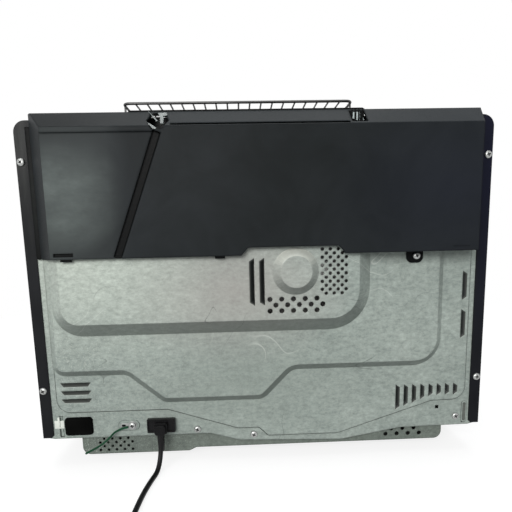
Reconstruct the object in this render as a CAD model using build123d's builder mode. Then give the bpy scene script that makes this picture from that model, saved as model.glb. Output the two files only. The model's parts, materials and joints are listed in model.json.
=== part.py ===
# Countertop steam oven, modelled as separate pieces in millimetres.
# Origin: floor level, middle of the width and of the depth. +X is to the right seen from the front,
# +Y points to the back, +Z is up. The depth p counts backwards from the outer face of the rear flange.
import math
import os

from build123d import *

os.makedirs("parts", exist_ok=True)

# Driving dimensions of the cabinet
WIDTH = 500.0
DEPTH = 437.0
CABINET_TOP = 378.0
CABINET_BOTTOM = 36.0
SHEET = 1.0
CORNER = 12.0
FLANGE = 12.0
COVER_DEPTH = 30.0
HANDLE_REACH = 32.5
DOOR_THICK = 30.0
PAN_BOTTOM = 12.0
PAN_STEP = 3.7
PAN_HALF = 209.0
PAN_SET_IN = 6.0

# Places worked out from them
HALF = WIDTH / 2
INSIDE = HALF - SHEET
REAR = DEPTH / 2 - COVER_DEPTH
DOOR_FACE = -DEPTH / 2 + HANDLE_REACH
FRONT = DOOR_FACE + DOOR_THICK
FRAME_THICK = 3.0
FRAME_BACK = FRONT + FRAME_THICK

# Round bars and small holes that repeat have this many sides
SIDES = 8
FLAT_TURN = 180 / SIDES

# Stamped rear panel
PANEL_T = 1.0
STRIP_P = -SHEET
JOGGLE = 1.5
JOGGLE_P = STRIP_P + JOGGLE
LOW_STEP = 7.0
HIGH_STEP = 15.0
LOW_P = JOGGLE_P + LOW_STEP
HIGH_P = LOW_P + HIGH_STEP
FORM_BACK = 10.0
PANEL_TOP = CABINET_TOP - 6
PANEL_HALF = HALF - 1.5
LIP = HALF - FLANGE
BOSS_X = -35.0
BOSS_Z = 219.0
BOSS_R = 24.5
BOSS_RISE = 8.0

# Cooking chamber
CAVITY_X0 = -HALF + 24
CAVITY_X1 = HALF - 96
CAVITY_Z0 = 80.0
CAVITY_Z1 = CABINET_TOP - 58
CAVITY_BACK = REAR - 38.5
WELL_X = BOSS_X - 1
WELL_Y = CAVITY_BACK - 90
WELL_R = 85.0
WELL_BOTTOM = 60.0
DUCT_BOTTOM = 44.0
COLUMN_X = CAVITY_X1 + SHEET

# Door
DOOR_X0 = -HALF + 1
DOOR_X1 = HALF - 93
DOOR_Z0 = 66.0
DOOR_Z1 = CABINET_TOP - 4
DOOR_GAP = 0.5
DOOR_BACK = FRONT - DOOR_GAP
HINGE_IN = 6.0
HINGE_Y = DOOR_BACK - HINGE_IN
HINGE_Z = DOOR_Z0 + HINGE_IN
PIN_R = 3.0
PIN_FIT = 0.05
LATCHES = (DOOR_X0 + 89, DOOR_X1 - 69)

# Control column and water tank
PANEL_X0 = DOOR_X1 + 1
PANEL_X1 = HALF - 1
TANK_X0 = PANEL_X0 + 9
TANK_X1 = PANEL_X1 - 9
TANK_Z0 = 77.0
TANK_Z1 = 181.0
TANK_JOIN = DOOR_FACE + 24
TANK_BACK = WELL_Y - 30
PUMP_X = TANK_X1 - 35
PUMP_Z = 92.0
DIAL_X = (PANEL_X0 + PANEL_X1) / 2
DIAL_Z = 232.0
DIAL_R = 20.0

# Wire rack on the top
RACK_X0 = -119.0
RACK_X1 = 156.0
RACK_Y0 = -120.0
RACK_Y1 = 88.5
RACK_Z = CABINET_TOP + 43
RACK_WIRES = 19

# Mains lead
CORD_D = 5.4
CORD_Z = CORD_D / 2
INLET_X = 116.6
INLET_P = 9.0


def at_p(p):
    """Y of the depth p behind the rear flange face."""
    return REAR + p


def bx(x0, x1, y0, y1, z0, z1, mode=Mode.ADD):
    """Box between two corners."""
    with Locations(((x0 + x1) / 2, (y0 + y1) / 2, (z0 + z1) / 2)):
        Box(abs(x1 - x0), abs(y1 - y0), abs(z1 - z0), mode=mode)


def rod_x(y, z, r, x0, x1, mode=Mode.ADD):
    """Round bar along X."""
    with Locations(Location(((x0 + x1) / 2, y, z), (0, 90, 0))):
        Cylinder(r, abs(x1 - x0), mode=mode)


def rod_y(x, z, r, y0, y1, mode=Mode.ADD):
    """Round bar along Y."""
    with Locations(Location((x, (y0 + y1) / 2, z), (90, 0, 0))):
        Cylinder(r, abs(y1 - y0), mode=mode)


def rod_z(x, y, r, z0, z1, mode=Mode.ADD):
    """Round bar along Z."""
    with Locations((x, y, (z0 + z1) / 2)):
        Cylinder(r, abs(z1 - z0), mode=mode)


def bar_y(x, z, r, y0, y1, mode=Mode.ADD):
    """Bar along Y with few sides, its flats to the sides, above and below."""
    with BuildSketch(Plane(origin=(x, y0, z), x_dir=(1, 0, 0), z_dir=(0, 1, 0))) as section:
        RegularPolygon(r, SIDES, rotation=FLAT_TURN)
    extrude(section.sketch, amount=y1 - y0, mode=mode)


def rear_plane(p):
    """Sketch plane that looks backwards, local x = -X and local y = Z."""
    return Plane(origin=(0, at_p(p), 0), x_dir=(-1, 0, 0), z_dir=(0, 1, 0))


def front_outline(points, radii):
    """Closed outline for an XZ plane from (X, Z) corners, each with its radius."""
    with BuildSketch(Plane.XY) as shape:
        with BuildLine():
            FilletPolyline(points, radius=radii, close=True)
        make_face()
    return shape.sketch_local


def rear_outline(points, radii):
    """The same for a rear plane, whose local x is -X."""
    return front_outline([(-x, z) for x, z in points], radii)


def cut_profile(plane, points, amount, mode=Mode.ADD):
    """Straight-sided profile on a plane, extruded into the piece in hand."""
    with BuildSketch(plane) as profile:
        with BuildLine():
            Polyline(*points, close=True)
        make_face()
    extrude(profile.sketch, amount=amount, mode=mode)


def scoop(x_open, z_open, width, length, p, upright=True, depth=4.5, slant=3.6):
    """Louvre pressed inwards at depth p: its slope ends in a sharp open edge of the given length.

    An upright one rises from the given place and lies on the side of the signed width,
    a level one runs from there along X and hangs below its open edge.
    """
    reach = abs(width)
    upper = length - slant
    outline = [(-reach, slant), (0, 0), (reach, slant), (reach, upper), (0, length), (-reach, upper)]
    lean = math.degrees(math.atan((reach - 0.3) / depth))
    if upright:
        plane = Plane(origin=(x_open, at_p(p), z_open), x_dir=(-1, 0, 0), z_dir=(0, 1, 0))
        spare_side = 1 if width > 0 else -1
        spare = (x_open, x_open - spare_side * 2 * reach, z_open - 1, z_open + length + 1)
    else:
        plane = Plane(origin=(x_open, at_p(p), z_open), x_dir=(0, 0, 1), z_dir=(0, 1, 0))
        spare = (x_open - 1, x_open + length + 1, z_open, z_open + 2 * reach)
    with BuildPart(mode=Mode.PRIVATE) as pocket:
        with BuildSketch(plane) as mouth:
            with BuildLine():
                Polyline(*outline, close=True)
            make_face()
        extrude(mouth.sketch, amount=-depth, taper=lean)
        bx(spare[0], spare[1], at_p(p - depth - 1), at_p(p + 1), spare[2], spare[3], Mode.SUBTRACT)
    return pocket.part


def open_tray(x0, x1, y0, y1, z0, z1, wall):
    """Open box with thin walls and a floor."""
    bx(x0, x1, y0, y1, z0, z1)
    bx(x0 + wall, x1 - wall, y0 + wall, y1 - wall, z0 + wall, z1, Mode.SUBTRACT)


def save(name, part):
    """Label a piece and write its file."""
    part.label = name
    export_step(part, f"parts/{name}.step")


FLANGE_SCREWS = []
for screw_side in (1, -1):
    for screw_level in (CABINET_TOP - 41, 91.5):
        FLANGE_SCREWS.append((screw_side * (HALF - 5), screw_level))
PANEL_SCREWS = [(76.5, 39.8), (12.1, 31.2), (-HALF + 27, 44.4)]
SCREW_HOLE = 2.0
HEAD_R = 3.75
TAB_X = -HALF + 83
TAB_Z = 232.0
EARTH_X = 149.5
EARTH_Z = 47.6

# Outer cabinet: top and sides in one sheet, with a rear flange
with BuildPart() as outer_cabinet:
    with BuildSketch(Plane.XZ.offset(-REAR)):
        wrap = [(HALF, CABINET_BOTTOM), (HALF, CABINET_TOP), (-HALF, CABINET_TOP), (-HALF, CABINET_BOTTOM)]
        add(front_outline(wrap, [0, CORNER, CORNER, 0]))
        hollow = [
            (INSIDE, CABINET_BOTTOM - 1),
            (INSIDE, CABINET_TOP - SHEET),
            (-INSIDE, CABINET_TOP - SHEET),
            (-INSIDE, CABINET_BOTTOM - 1),
        ]
        add(front_outline(hollow, [0, CORNER - SHEET, CORNER - SHEET, 0]), mode=Mode.SUBTRACT)
    extrude(amount=REAR - FRONT)
    with BuildSketch(Plane.XZ.offset(-REAR)):
        add(front_outline(wrap, [0, CORNER, CORNER, 0]))
        opening = [
            (LIP, CABINET_BOTTOM - 1),
            (LIP, CABINET_TOP - FLANGE),
            (-LIP, CABINET_TOP - FLANGE),
            (-LIP, CABINET_BOTTOM - 1),
        ]
        add(front_outline(opening, [0, 2, 2, 0]), mode=Mode.SUBTRACT)
    extrude(amount=SHEET)
    # cut corner at the foot of each flange
    for side in (1, -1):
        inner_x = side * LIP
        cut_z = CABINET_BOTTOM + 3
        foot = [(inner_x, CABINET_BOTTOM), (inner_x + side * 3, CABINET_BOTTOM), (inner_x, cut_z)]
        cut_profile(Plane.XZ.offset(-REAR), foot, SHEET, Mode.SUBTRACT)
    for screw_x, screw_z in FLANGE_SCREWS:
        bar_y(screw_x, screw_z, SCREW_HOLE, REAR - 2, REAR + 1, Mode.SUBTRACT)
save("outer_cabinet", outer_cabinet.part)

# Rear panel: the outer form of the stamping, which is then made a thin sheet
STRIP = [
    (PANEL_HALF, PANEL_TOP),
    (PANEL_HALF, 36.5),
    (LIP, 34.5),
    (62, 34.5),
    (28, 25),
    (-88, 21),
    (-158, 33),
    (-LIP, 34),
    (-PANEL_HALF, 36.5),
    (-PANEL_HALF, PANEL_TOP),
]
JOGGLE_LINE = [
    (HALF - 18, PANEL_TOP - 6),
    (HALF - 18, 64.4),
    (108.7, 64.4),
    (30, 39),
    (6, 39),
    (-4, 28.8),
    (-85, 28.8),
    (-HALF + 57, 63.8),
    (-HALF + 17, 64.8),
    (-HALF + 17, PANEL_TOP - 6),
]
LOW_FOOT = [
    (HALF - 18, PANEL_TOP - 9),
    (HALF - 18, 107.5),
    (152, 107.5),
    (112, 73.7),
    (0, 73.7),
    (-33, 107.4),
    (-HALF + 48.5, 107.4),
    (-HALF + 48.5, PANEL_TOP - 9),
]
HIGH_FOOT = [
    (HALF - 25.5, PANEL_TOP - 17),
    (HALF - 25.5, 153.5),
    (-117.7, 153.5),
    (-117.7, PANEL_TOP - 17),
]
SIDE_LOUVRES = ((180.7, 32.9), (137.2, 33.3))
LEFT_LOUVRE_TOP = 99.8
LEFT_LOUVRE_STEP = 9.3
RISING_FEET = (55.2, 59, 62.2, 66.3, 69.5, 70.5, 70.5, 70.5)
RISING_TOP = 85.2
RISING_STEP = 9.55
with BuildPart() as panel_form:
    with BuildSketch(rear_plane(STRIP_P)):
        add(rear_outline(STRIP, [7, 4, 0, 6, 6, 6, 6, 0, 4, 7]))
    extrude(amount=-FORM_BACK)
    with BuildSketch(rear_plane(STRIP_P)):
        add(rear_outline(JOGGLE_LINE, [16, 16, 6, 6, 4, 4, 8, 8, 16, 16]))
    extrude(amount=JOGGLE, taper=40)
    with BuildSketch(rear_plane(JOGGLE_P)):
        add(rear_outline(LOW_FOOT, [14, 14, 16, 16, 16, 16, 32, 14]))
    extrude(amount=LOW_STEP, taper=46)
    with BuildSketch(rear_plane(LOW_P)):
        add(rear_outline(HIGH_FOOT, [22, 32, 45, 22]))
    extrude(amount=HIGH_STEP, taper=45)
    with BuildSketch(rear_plane(HIGH_P)):
        with Locations((-BOSS_X, BOSS_Z)):
            Circle(BOSS_R)
    extrude(amount=BOSS_RISE, taper=45)
with BuildPart() as louvred_form:
    add(panel_form.part)
    # two tall louvres beside the boss, three level ones, and the rows at the other edge
    for slot_x in (13.6, 3.1):
        add(scoop(slot_x - 5.4, 183.5, 5.4, 50.5, HIGH_P), mode=Mode.SUBTRACT)
    for louvre in range(3):
        open_z = LEFT_LOUVRE_TOP - LEFT_LOUVRE_STEP * louvre
        add(scoop(HALF - 58, open_z, 4.8, 34.0, JOGGLE_P, upright=False), mode=Mode.SUBTRACT)
    for number, foot_z in enumerate(RISING_FEET):
        open_x = -HALF + 98.5 - RISING_STEP * number
        add(scoop(open_x, foot_z, -5.0, RISING_TOP - foot_z, JOGGLE_P), mode=Mode.SUBTRACT)
    for foot_z, tall in SIDE_LOUVRES:
        add(scoop(-HALF + 26.2, foot_z, -5.2, tall, JOGGLE_P), mode=Mode.SUBTRACT)
    # upright beads pressed into the bottom corners
    for bead_x in (HALF - 21, -HALF + 17.7):
        with BuildSketch(rear_plane(STRIP_P)):
            with Locations((-bead_x, 48.5)):
                Rectangle(4.6, 25)
        extrude(amount=-1.2, taper=40, mode=Mode.SUBTRACT)

DUCT_X0 = -86.0
DUCT_X1 = 60.0
DUCT_Z0 = CAVITY_Z1 + 2
DUCT_Z1 = DUCT_Z0 + 20
FINE_R = 1.85
FINE_X = -63.0
FINE_Z = 241.5
FINE_STEP = 8.4
COARSE_R = 2.75
COARSE_X = -7.7
COARSE_Z = 190.3
COARSE_STEP = 12.4
INLET_Z0 = 39.6
INLET_Z1 = 55.6
INLET_MID = (INLET_Z0 + INLET_Z1) / 2
NECK_R = 6.0
with BuildPart() as rear_panel:
    add(louvred_form.part)
    add(louvred_form.part.moved(Location((0, -PANEL_T, 0))), mode=Mode.SUBTRACT)
    with BuildSketch(rear_plane(HIGH_P + 1)):
        fine = []
        for column in range(7):
            drop = 0 if column % 2 == 0 else FINE_STEP / 2
            first = 1 if column == 6 else 0
            for row in range(first, 6):
                fine.append((-FINE_X + column * FINE_STEP / 2, FINE_Z - drop - row * FINE_STEP))
        with Locations(*fine):
            RegularPolygon(FINE_R, SIDES)
        coarse = []
        for row in range(3):
            shift = COARSE_STEP / 2 if row == 1 else 0
            for column in range(5):
                coarse.append((-COARSE_X + shift + column * COARSE_STEP, COARSE_Z - row * COARSE_STEP / 2))
        with Locations(*coarse):
            RegularPolygon(COARSE_R, SIDES)
    extrude(amount=-3, mode=Mode.SUBTRACT)
    bx(DUCT_X0, DUCT_X1, at_p(HIGH_P - 3), at_p(HIGH_P + 1), DUCT_Z0 - 1.5, DUCT_Z1 - 0.5, Mode.SUBTRACT)
    for screw_x, screw_z in FLANGE_SCREWS + PANEL_SCREWS + [(EARTH_X, EARTH_Z)]:
        bar_y(screw_x, screw_z, SCREW_HOLE, REAR - 4, REAR + 1, Mode.SUBTRACT)
    bar_y(TAB_X, TAB_Z, SCREW_HOLE, at_p(LOW_P - 3), at_p(LOW_P + 1), Mode.SUBTRACT)
    rod_y(INLET_X, INLET_MID, NECK_R + 0.1, at_p(-4), at_p(1), Mode.SUBTRACT)
    bx(-HALF + 47.4, -HALF + 51.2, at_p(-4), at_p(1), 54.4, 58.2, Mode.SUBTRACT)
save("rear_panel", rear_panel.part)

# Moulded rear cover over the upper half of the panel
COVER_BOTTOM = 237.0
COVER_TOP = CABINET_TOP + 4.5
COVER_CREASE = CABINET_TOP - 14
COVER_WALL = 2.2
FACE_P = COVER_DEPTH
COVER_X0 = -HALF + 18
COVER_X1 = HALF - 18
CREASE_IN = COVER_CREASE - COVER_WALL * 0.4
TOP_P = 8.0
TOP_IN_P = TOP_P - COVER_WALL * 0.5


def cover_body(inset, p0):
    """Outer or inner form of the cover, smaller by the inset."""
    face = FACE_P - inset
    section = [
        (at_p(p0), COVER_BOTTOM + inset),
        (at_p(face), COVER_BOTTOM + inset),
        (at_p(face), COVER_CREASE - inset * 0.4),
        (at_p(TOP_P - inset * 0.5), COVER_TOP - inset),
        (at_p(p0), COVER_TOP - inset),
    ]
    cut_profile(Plane.YZ.offset(COVER_X0 + inset), section, COVER_X1 - COVER_X0 - 2 * inset)


def cover_sides(left_base, left_face, right_base, right_face):
    """Cut the slopes of the two side walls."""
    left = [(left_base, at_p(2)), (left_face, at_p(FACE_P)), (HALF, at_p(FACE_P)), (HALF, at_p(2))]
    right = [(right_base, at_p(2)), (right_face, at_p(FACE_P)), (-HALF, at_p(FACE_P)), (-HALF, at_p(2))]
    cut_profile(Plane.XY.offset(COVER_BOTTOM - 30), left, COVER_TOP, Mode.SUBTRACT)
    cut_profile(Plane.XY.offset(COVER_BOTTOM - 30), right, COVER_TOP, Mode.SUBTRACT)


with BuildPart() as cover_inner:
    cover_body(COVER_WALL, -1)
    cover_sides(HALF - 19, HALF - 40.2, -HALF + 20.2, -HALF + 28.2)

GROOVE_TOP = (99.8, COVER_CREASE - 5)
GROOVE_LOW = (145.8, COVER_BOTTOM)
GROOVE_HALF = 4.2
LOW_FACE = 1.2
HEX_X = 99.5
HEX_Z = CABINET_TOP - 7.5
HEX_R = 11.0
SLIT_X0 = -90.0
SLIT_X1 = 87.0
WINDOW_X0 = -108.0
WINDOW_Z0 = CABINET_TOP - 12
WINDOW_Z1 = CABINET_TOP + 2.5
with BuildPart() as rear_cover:
    cover_body(0, 0)
    cover_sides(HALF - 16.5, HALF - 38, -HALF + 18, -HALF + 26)
    # raised ridge along the top edge, with ramped ends
    with BuildSketch(rear_plane(1)):
        ridge_z = COVER_TOP + 1.5
        ridge = [(135, COVER_TOP - 2), (129, ridge_z), (-107, ridge_z), (-113, COVER_TOP - 2)]
        add(rear_outline(ridge, [0, 1, 1, 0]))
    extrude(amount=TOP_P - 1)
    # lip that sits on the flange beside the cover
    bx(HALF - 24, LIP - 0.4, at_p(0), at_p(1.8), COVER_BOTTOM, PANEL_TOP - 1)
    bx(-HALF + 24, -LIP + 0.4, at_p(0), at_p(1.8), COVER_BOTTOM, PANEL_TOP - 1)
    # screw tab
    with BuildSketch(rear_plane(LOW_P + 0.2)):
        tab = [(TAB_X + 10.4, 245), (TAB_X + 10.4, 224.5), (TAB_X - 7.2, 224.5), (TAB_X - 7.2, 245)]
        add(rear_outline(tab, [0, 6, 6, 0]))
    extrude(amount=2.4)
    shelf_top = COVER_BOTTOM + COVER_WALL
    bx(TAB_X - 7.2, TAB_X + 10.4, at_p(LOW_P + 0.2), at_p(FACE_P - 4), COVER_BOTTOM, shelf_top)
    add(cover_inner.part, mode=Mode.SUBTRACT)
    add(panel_form.part.moved(Location((0, 0.3, 0))), mode=Mode.SUBTRACT)
    add(panel_form.part, mode=Mode.SUBTRACT)
    # lower edge steps up over the motor boss
    with BuildSketch(rear_plane(HIGH_P)):
        add(rear_outline([(27, 230), (14, 245), (-79, 245), (-92, 230)], [0, 5, 5, 0]))
    extrude(amount=20, mode=Mode.SUBTRACT)
    # face beside the drain groove lies lower
    with BuildSketch(rear_plane(FACE_P - LOW_FACE)):
        low_face = [
            (GROOVE_TOP[0], GROOVE_TOP[1]),
            (GROOVE_LOW[0] + 8, GROOVE_LOW[1] - 20),
            (HALF, GROOVE_LOW[1] - 20),
            (HALF, GROOVE_TOP[1]),
        ]
        add(rear_outline(low_face, [0, 0, 0, 0]))
    extrude(amount=5, mode=Mode.SUBTRACT)
    # drain groove
    run = math.hypot(GROOVE_LOW[0] - GROOVE_TOP[0], GROOVE_LOW[1] - GROOVE_TOP[1])
    across = ((GROOVE_TOP[1] - GROOVE_LOW[1]) / run, (GROOVE_LOW[0] - GROOVE_TOP[0]) / run)
    with BuildSketch(rear_plane(FACE_P - 1.9)):
        groove = []
        for end, side in ((GROOVE_TOP, 1), (GROOVE_TOP, -1), (GROOVE_LOW, -1), (GROOVE_LOW, 1)):
            groove.append((end[0] + side * across[0] * GROOVE_HALF, end[1] + side * across[1] * GROOVE_HALF))
        add(rear_outline(groove, [0, 0, 0, 0]))
    extrude(amount=5, mode=Mode.SUBTRACT)
    # hexagonal cut-out, exhaust slit, and the ribbed end window
    with BuildSketch(rear_plane(0)):
        with Locations((-HEX_X, HEX_Z)):
            RegularPolygon(HEX_R, 6)
    extrude(amount=40, mode=Mode.SUBTRACT)
    bx(SLIT_X0, SLIT_X1, at_p(20), at_p(35), COVER_CREASE + 0.6, COVER_CREASE + 2.4, Mode.SUBTRACT)
    bx(WINDOW_X0, SLIT_X0 - 2, at_p(8), at_p(35), WINDOW_Z0, WINDOW_Z1, Mode.SUBTRACT)
    bx(WINDOW_X0, SLIT_X0 - 2, at_p(9.5), at_p(11), WINDOW_Z0, WINDOW_Z1)
    for rib in range(4):
        rib_x = WINDOW_X0 + 2.4 + rib * 3.6
        bx(rib_x - 0.6, rib_x + 0.6, at_p(10.5), at_p(14), WINDOW_Z0, WINDOW_Z1)
    # shallow hook slots near the bottom edge, and two tabs below it
    with BuildSketch(rear_plane(FACE_P - LOW_FACE - 0.6)):
        with Locations((-HALF + 50.5, COVER_BOTTOM + 4.4)):
            Rectangle(19.5, 3.6)
    extrude(amount=2, mode=Mode.SUBTRACT)
    with BuildSketch(rear_plane(FACE_P - 0.5)):
        with Locations((HALF - 44, COVER_BOTTOM + 4.0)):
            Rectangle(18, 2.2)
    extrude(amount=2, mode=Mode.SUBTRACT)
    for tab_x0, tab_x1 in ((HALF - 57.5, HALF - 46.6), (37.8, 48)):
        bx(tab_x0, tab_x1, at_p(HIGH_P + 2), at_p(FACE_P - 2.4), COVER_BOTTOM - 2.4, COVER_BOTTOM + 1)
    bar_y(TAB_X, TAB_Z, SCREW_HOLE, at_p(0), at_p(20), Mode.SUBTRACT)
save("rear_cover", rear_cover.part)

# Drip baffle below the slit, a bent strip that hangs on ribs under the cover's top slope
SLOPE_RUN = math.hypot(FACE_P - COVER_WALL - TOP_IN_P, COVER_TOP - COVER_WALL - CREASE_IN)
SLOPE_P = -(FACE_P - COVER_WALL - TOP_IN_P) / SLOPE_RUN
SLOPE_Z = (COVER_TOP - COVER_WALL - CREASE_IN) / SLOPE_RUN


def under_slope(along, below):
    """Y and Z of a place under the inner slope of the cover."""
    p = FACE_P - COVER_WALL + along * SLOPE_P - below * SLOPE_Z
    return (at_p(p), CREASE_IN + along * SLOPE_Z + below * SLOPE_P)


BAFFLE_DROP = 7.0
with BuildPart() as exhaust_visor:
    strip = [
        under_slope(3.5, BAFFLE_DROP),
        under_slope(19, BAFFLE_DROP),
        under_slope(19, BAFFLE_DROP + SHEET),
        under_slope(3.5, BAFFLE_DROP + SHEET),
    ]
    cut_profile(Plane.YZ.offset(SLIT_X0 + 1), strip, SLIT_X1 - SLIT_X0 - 2)
    for rib in range(5):
        rib_x = SLIT_X0 + 3 + rib * (SLIT_X1 - SLIT_X0 - 8) / 4
        hanger = [under_slope(8, 0), under_slope(17, 0)]
        hanger += [under_slope(17, BAFFLE_DROP), under_slope(8, BAFFLE_DROP)]
        cut_profile(Plane.YZ.offset(rib_x), hanger, 2)
save("exhaust_visor", exhaust_visor.part)

# Exhaust duct from the chamber roof to the back
VENT_X0 = -60.0
VENT_X1 = 30.0
VENT_Y0 = CAVITY_BACK - 24
VENT_Y1 = CAVITY_BACK - 10
with BuildPart() as exhaust_duct:
    bx(DUCT_X0 + 1, DUCT_X1 - 1, VENT_Y0 - 6, at_p(HIGH_P + 1), DUCT_Z0 - 1, DUCT_Z1 - 1)
    bx(DUCT_X0 + 2, DUCT_X1 - 2, VENT_Y0 - 5, at_p(HIGH_P + 2), DUCT_Z0, DUCT_Z1 - 2, Mode.SUBTRACT)
    bx(VENT_X0, VENT_X1, VENT_Y0, VENT_Y1, DUCT_Z0 - 3, DUCT_Z0 + 1, Mode.SUBTRACT)
save("exhaust_duct", exhaust_duct.part)

# Base pan with stepped bottom, vent holes in its rear wall and guides for the drip tray
PAN_FRONT = FRONT + 36
PAN_REAR = at_p(-PAN_SET_IN)
PAN_TOP = 43.0
STEP_X0 = 79.0
STEP_X1 = 87.0
with BuildPart() as base_pan:
    pan = [
        (PAN_HALF, PAN_TOP),
        (PAN_HALF, PAN_BOTTOM),
        (STEP_X1, PAN_BOTTOM),
        (STEP_X0, PAN_BOTTOM + PAN_STEP),
        (-PAN_HALF, PAN_BOTTOM + PAN_STEP),
        (-PAN_HALF, PAN_TOP),
    ]
    with BuildSketch(Plane.XZ.offset(-PAN_REAR)):
        add(front_outline(pan, [0, 9, 3, 3, 9, 0]))
    extrude(amount=PAN_REAR - PAN_FRONT)
    pan_in = [
        (PAN_HALF - SHEET, PAN_TOP + 1),
        (PAN_HALF - SHEET, PAN_BOTTOM + SHEET),
        (STEP_X1 - SHEET / 2, PAN_BOTTOM + SHEET),
        (STEP_X0 - SHEET / 2, PAN_BOTTOM + PAN_STEP + SHEET),
        (-PAN_HALF + SHEET, PAN_BOTTOM + PAN_STEP + SHEET),
        (-PAN_HALF + SHEET, PAN_TOP + 1),
    ]
    with BuildSketch(Plane.XZ.offset(-PAN_REAR + SHEET)):
        add(front_outline(pan_in, [0, 8, 3, 3, 8, 0]))
    extrude(amount=PAN_REAR - PAN_FRONT - 2 * SHEET, mode=Mode.SUBTRACT)
    # side shelves out to the cabinet walls, a turned-down lip at each side, and the tray's guides
    for side in (1, -1):
        wall = side * (PAN_HALF - SHEET)
        bx(wall, side * INSIDE, PAN_FRONT, PAN_REAR, PAN_TOP, PAN_TOP + SHEET)
        bx(side * (INSIDE - SHEET), side * INSIDE, PAN_FRONT, PAN_REAR, CABINET_BOTTOM + 1, PAN_TOP)
        bx(wall, side * PAN_HALF, FRAME_BACK, PAN_FRONT + 1, PAN_BOTTOM + 6, PAN_TOP + SHEET)
        bx(side * (PAN_HALF - 6), side * PAN_HALF, FRONT, PAN_FRONT + 1, PAN_BOTTOM + 5, PAN_BOTTOM + 6)
        bx(wall, side * PAN_HALF, FRONT, PAN_FRONT + 1, PAN_BOTTOM + 5, PAN_TOP - 3)
    with BuildSketch(rear_plane(-PAN_SET_IN + 1)):
        vents = []
        for row in range(4):
            for column in range(5 - row % 2):
                vents.append((-(PAN_HALF - 20 - 9.2 * column - 4.6 * (row % 2)), 16.6 + 4.5 * row))
        with Locations(*vents):
            RegularPolygon(1.55, SIDES)
        wide_vents = []
        for column in range(4):
            wide_vents.append((PAN_HALF - 66 + 13.3 * column, 23.0))
            if column < 3:
                wide_vents.append((PAN_HALF - 59.4 + 13.3 * column, 29.5))
        with Locations(*wide_vents):
            RegularPolygon(2.5, SIDES)
    extrude(amount=-4, mode=Mode.SUBTRACT)
save("base_pan", base_pan.part)

FOOT_R = 14.0
FOOT_X = PAN_HALF - 29
with BuildPart() as feet:
    for foot_y in (REAR - 78.5, FRONT + 56):
        rod_z(FOOT_X, foot_y, FOOT_R, 0, PAN_BOTTOM)
        rod_z(-FOOT_X, foot_y, FOOT_R, 0, PAN_BOTTOM + PAN_STEP)
save("feet", feet.part)

# Front frame, a plate behind the door and the control column
BAY_X0 = TANK_X0 - 0.4
BAY_X1 = TANK_X1 + 0.4
with BuildPart() as front_frame:
    with BuildSketch(Plane.XZ.offset(-FRAME_BACK)):
        plate = [
            (INSIDE, PAN_TOP + SHEET),
            (INSIDE, CABINET_TOP - SHEET),
            (-INSIDE, CABINET_TOP - SHEET),
            (-INSIDE, PAN_TOP + SHEET),
        ]
        add(front_outline(plate, [0, CORNER - SHEET, CORNER - SHEET, 0]))
    extrude(amount=FRAME_THICK)
    bx(CAVITY_X0, CAVITY_X1, FRONT - 1, FRAME_BACK + 1, CAVITY_Z0, CAVITY_Z1, Mode.SUBTRACT)
    bx(TANK_X0 - 1, TANK_X1 + 1, FRONT - 1, FRAME_BACK + 1, TANK_Z0, TANK_Z1 + 1, Mode.SUBTRACT)
    bx(TANK_X0 - 1, TANK_X1 + 1, FRONT - 1, FRAME_BACK + 1, TANK_Z1 + 15, DOOR_Z1 - 12, Mode.SUBTRACT)
    for latch_x in LATCHES:
        bx(latch_x - 5, latch_x + 5, FRONT - 1, FRAME_BACK + 1, DOOR_Z1 - 38, DOOR_Z1 - 20, Mode.SUBTRACT)
save("front_frame", front_frame.part)

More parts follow.
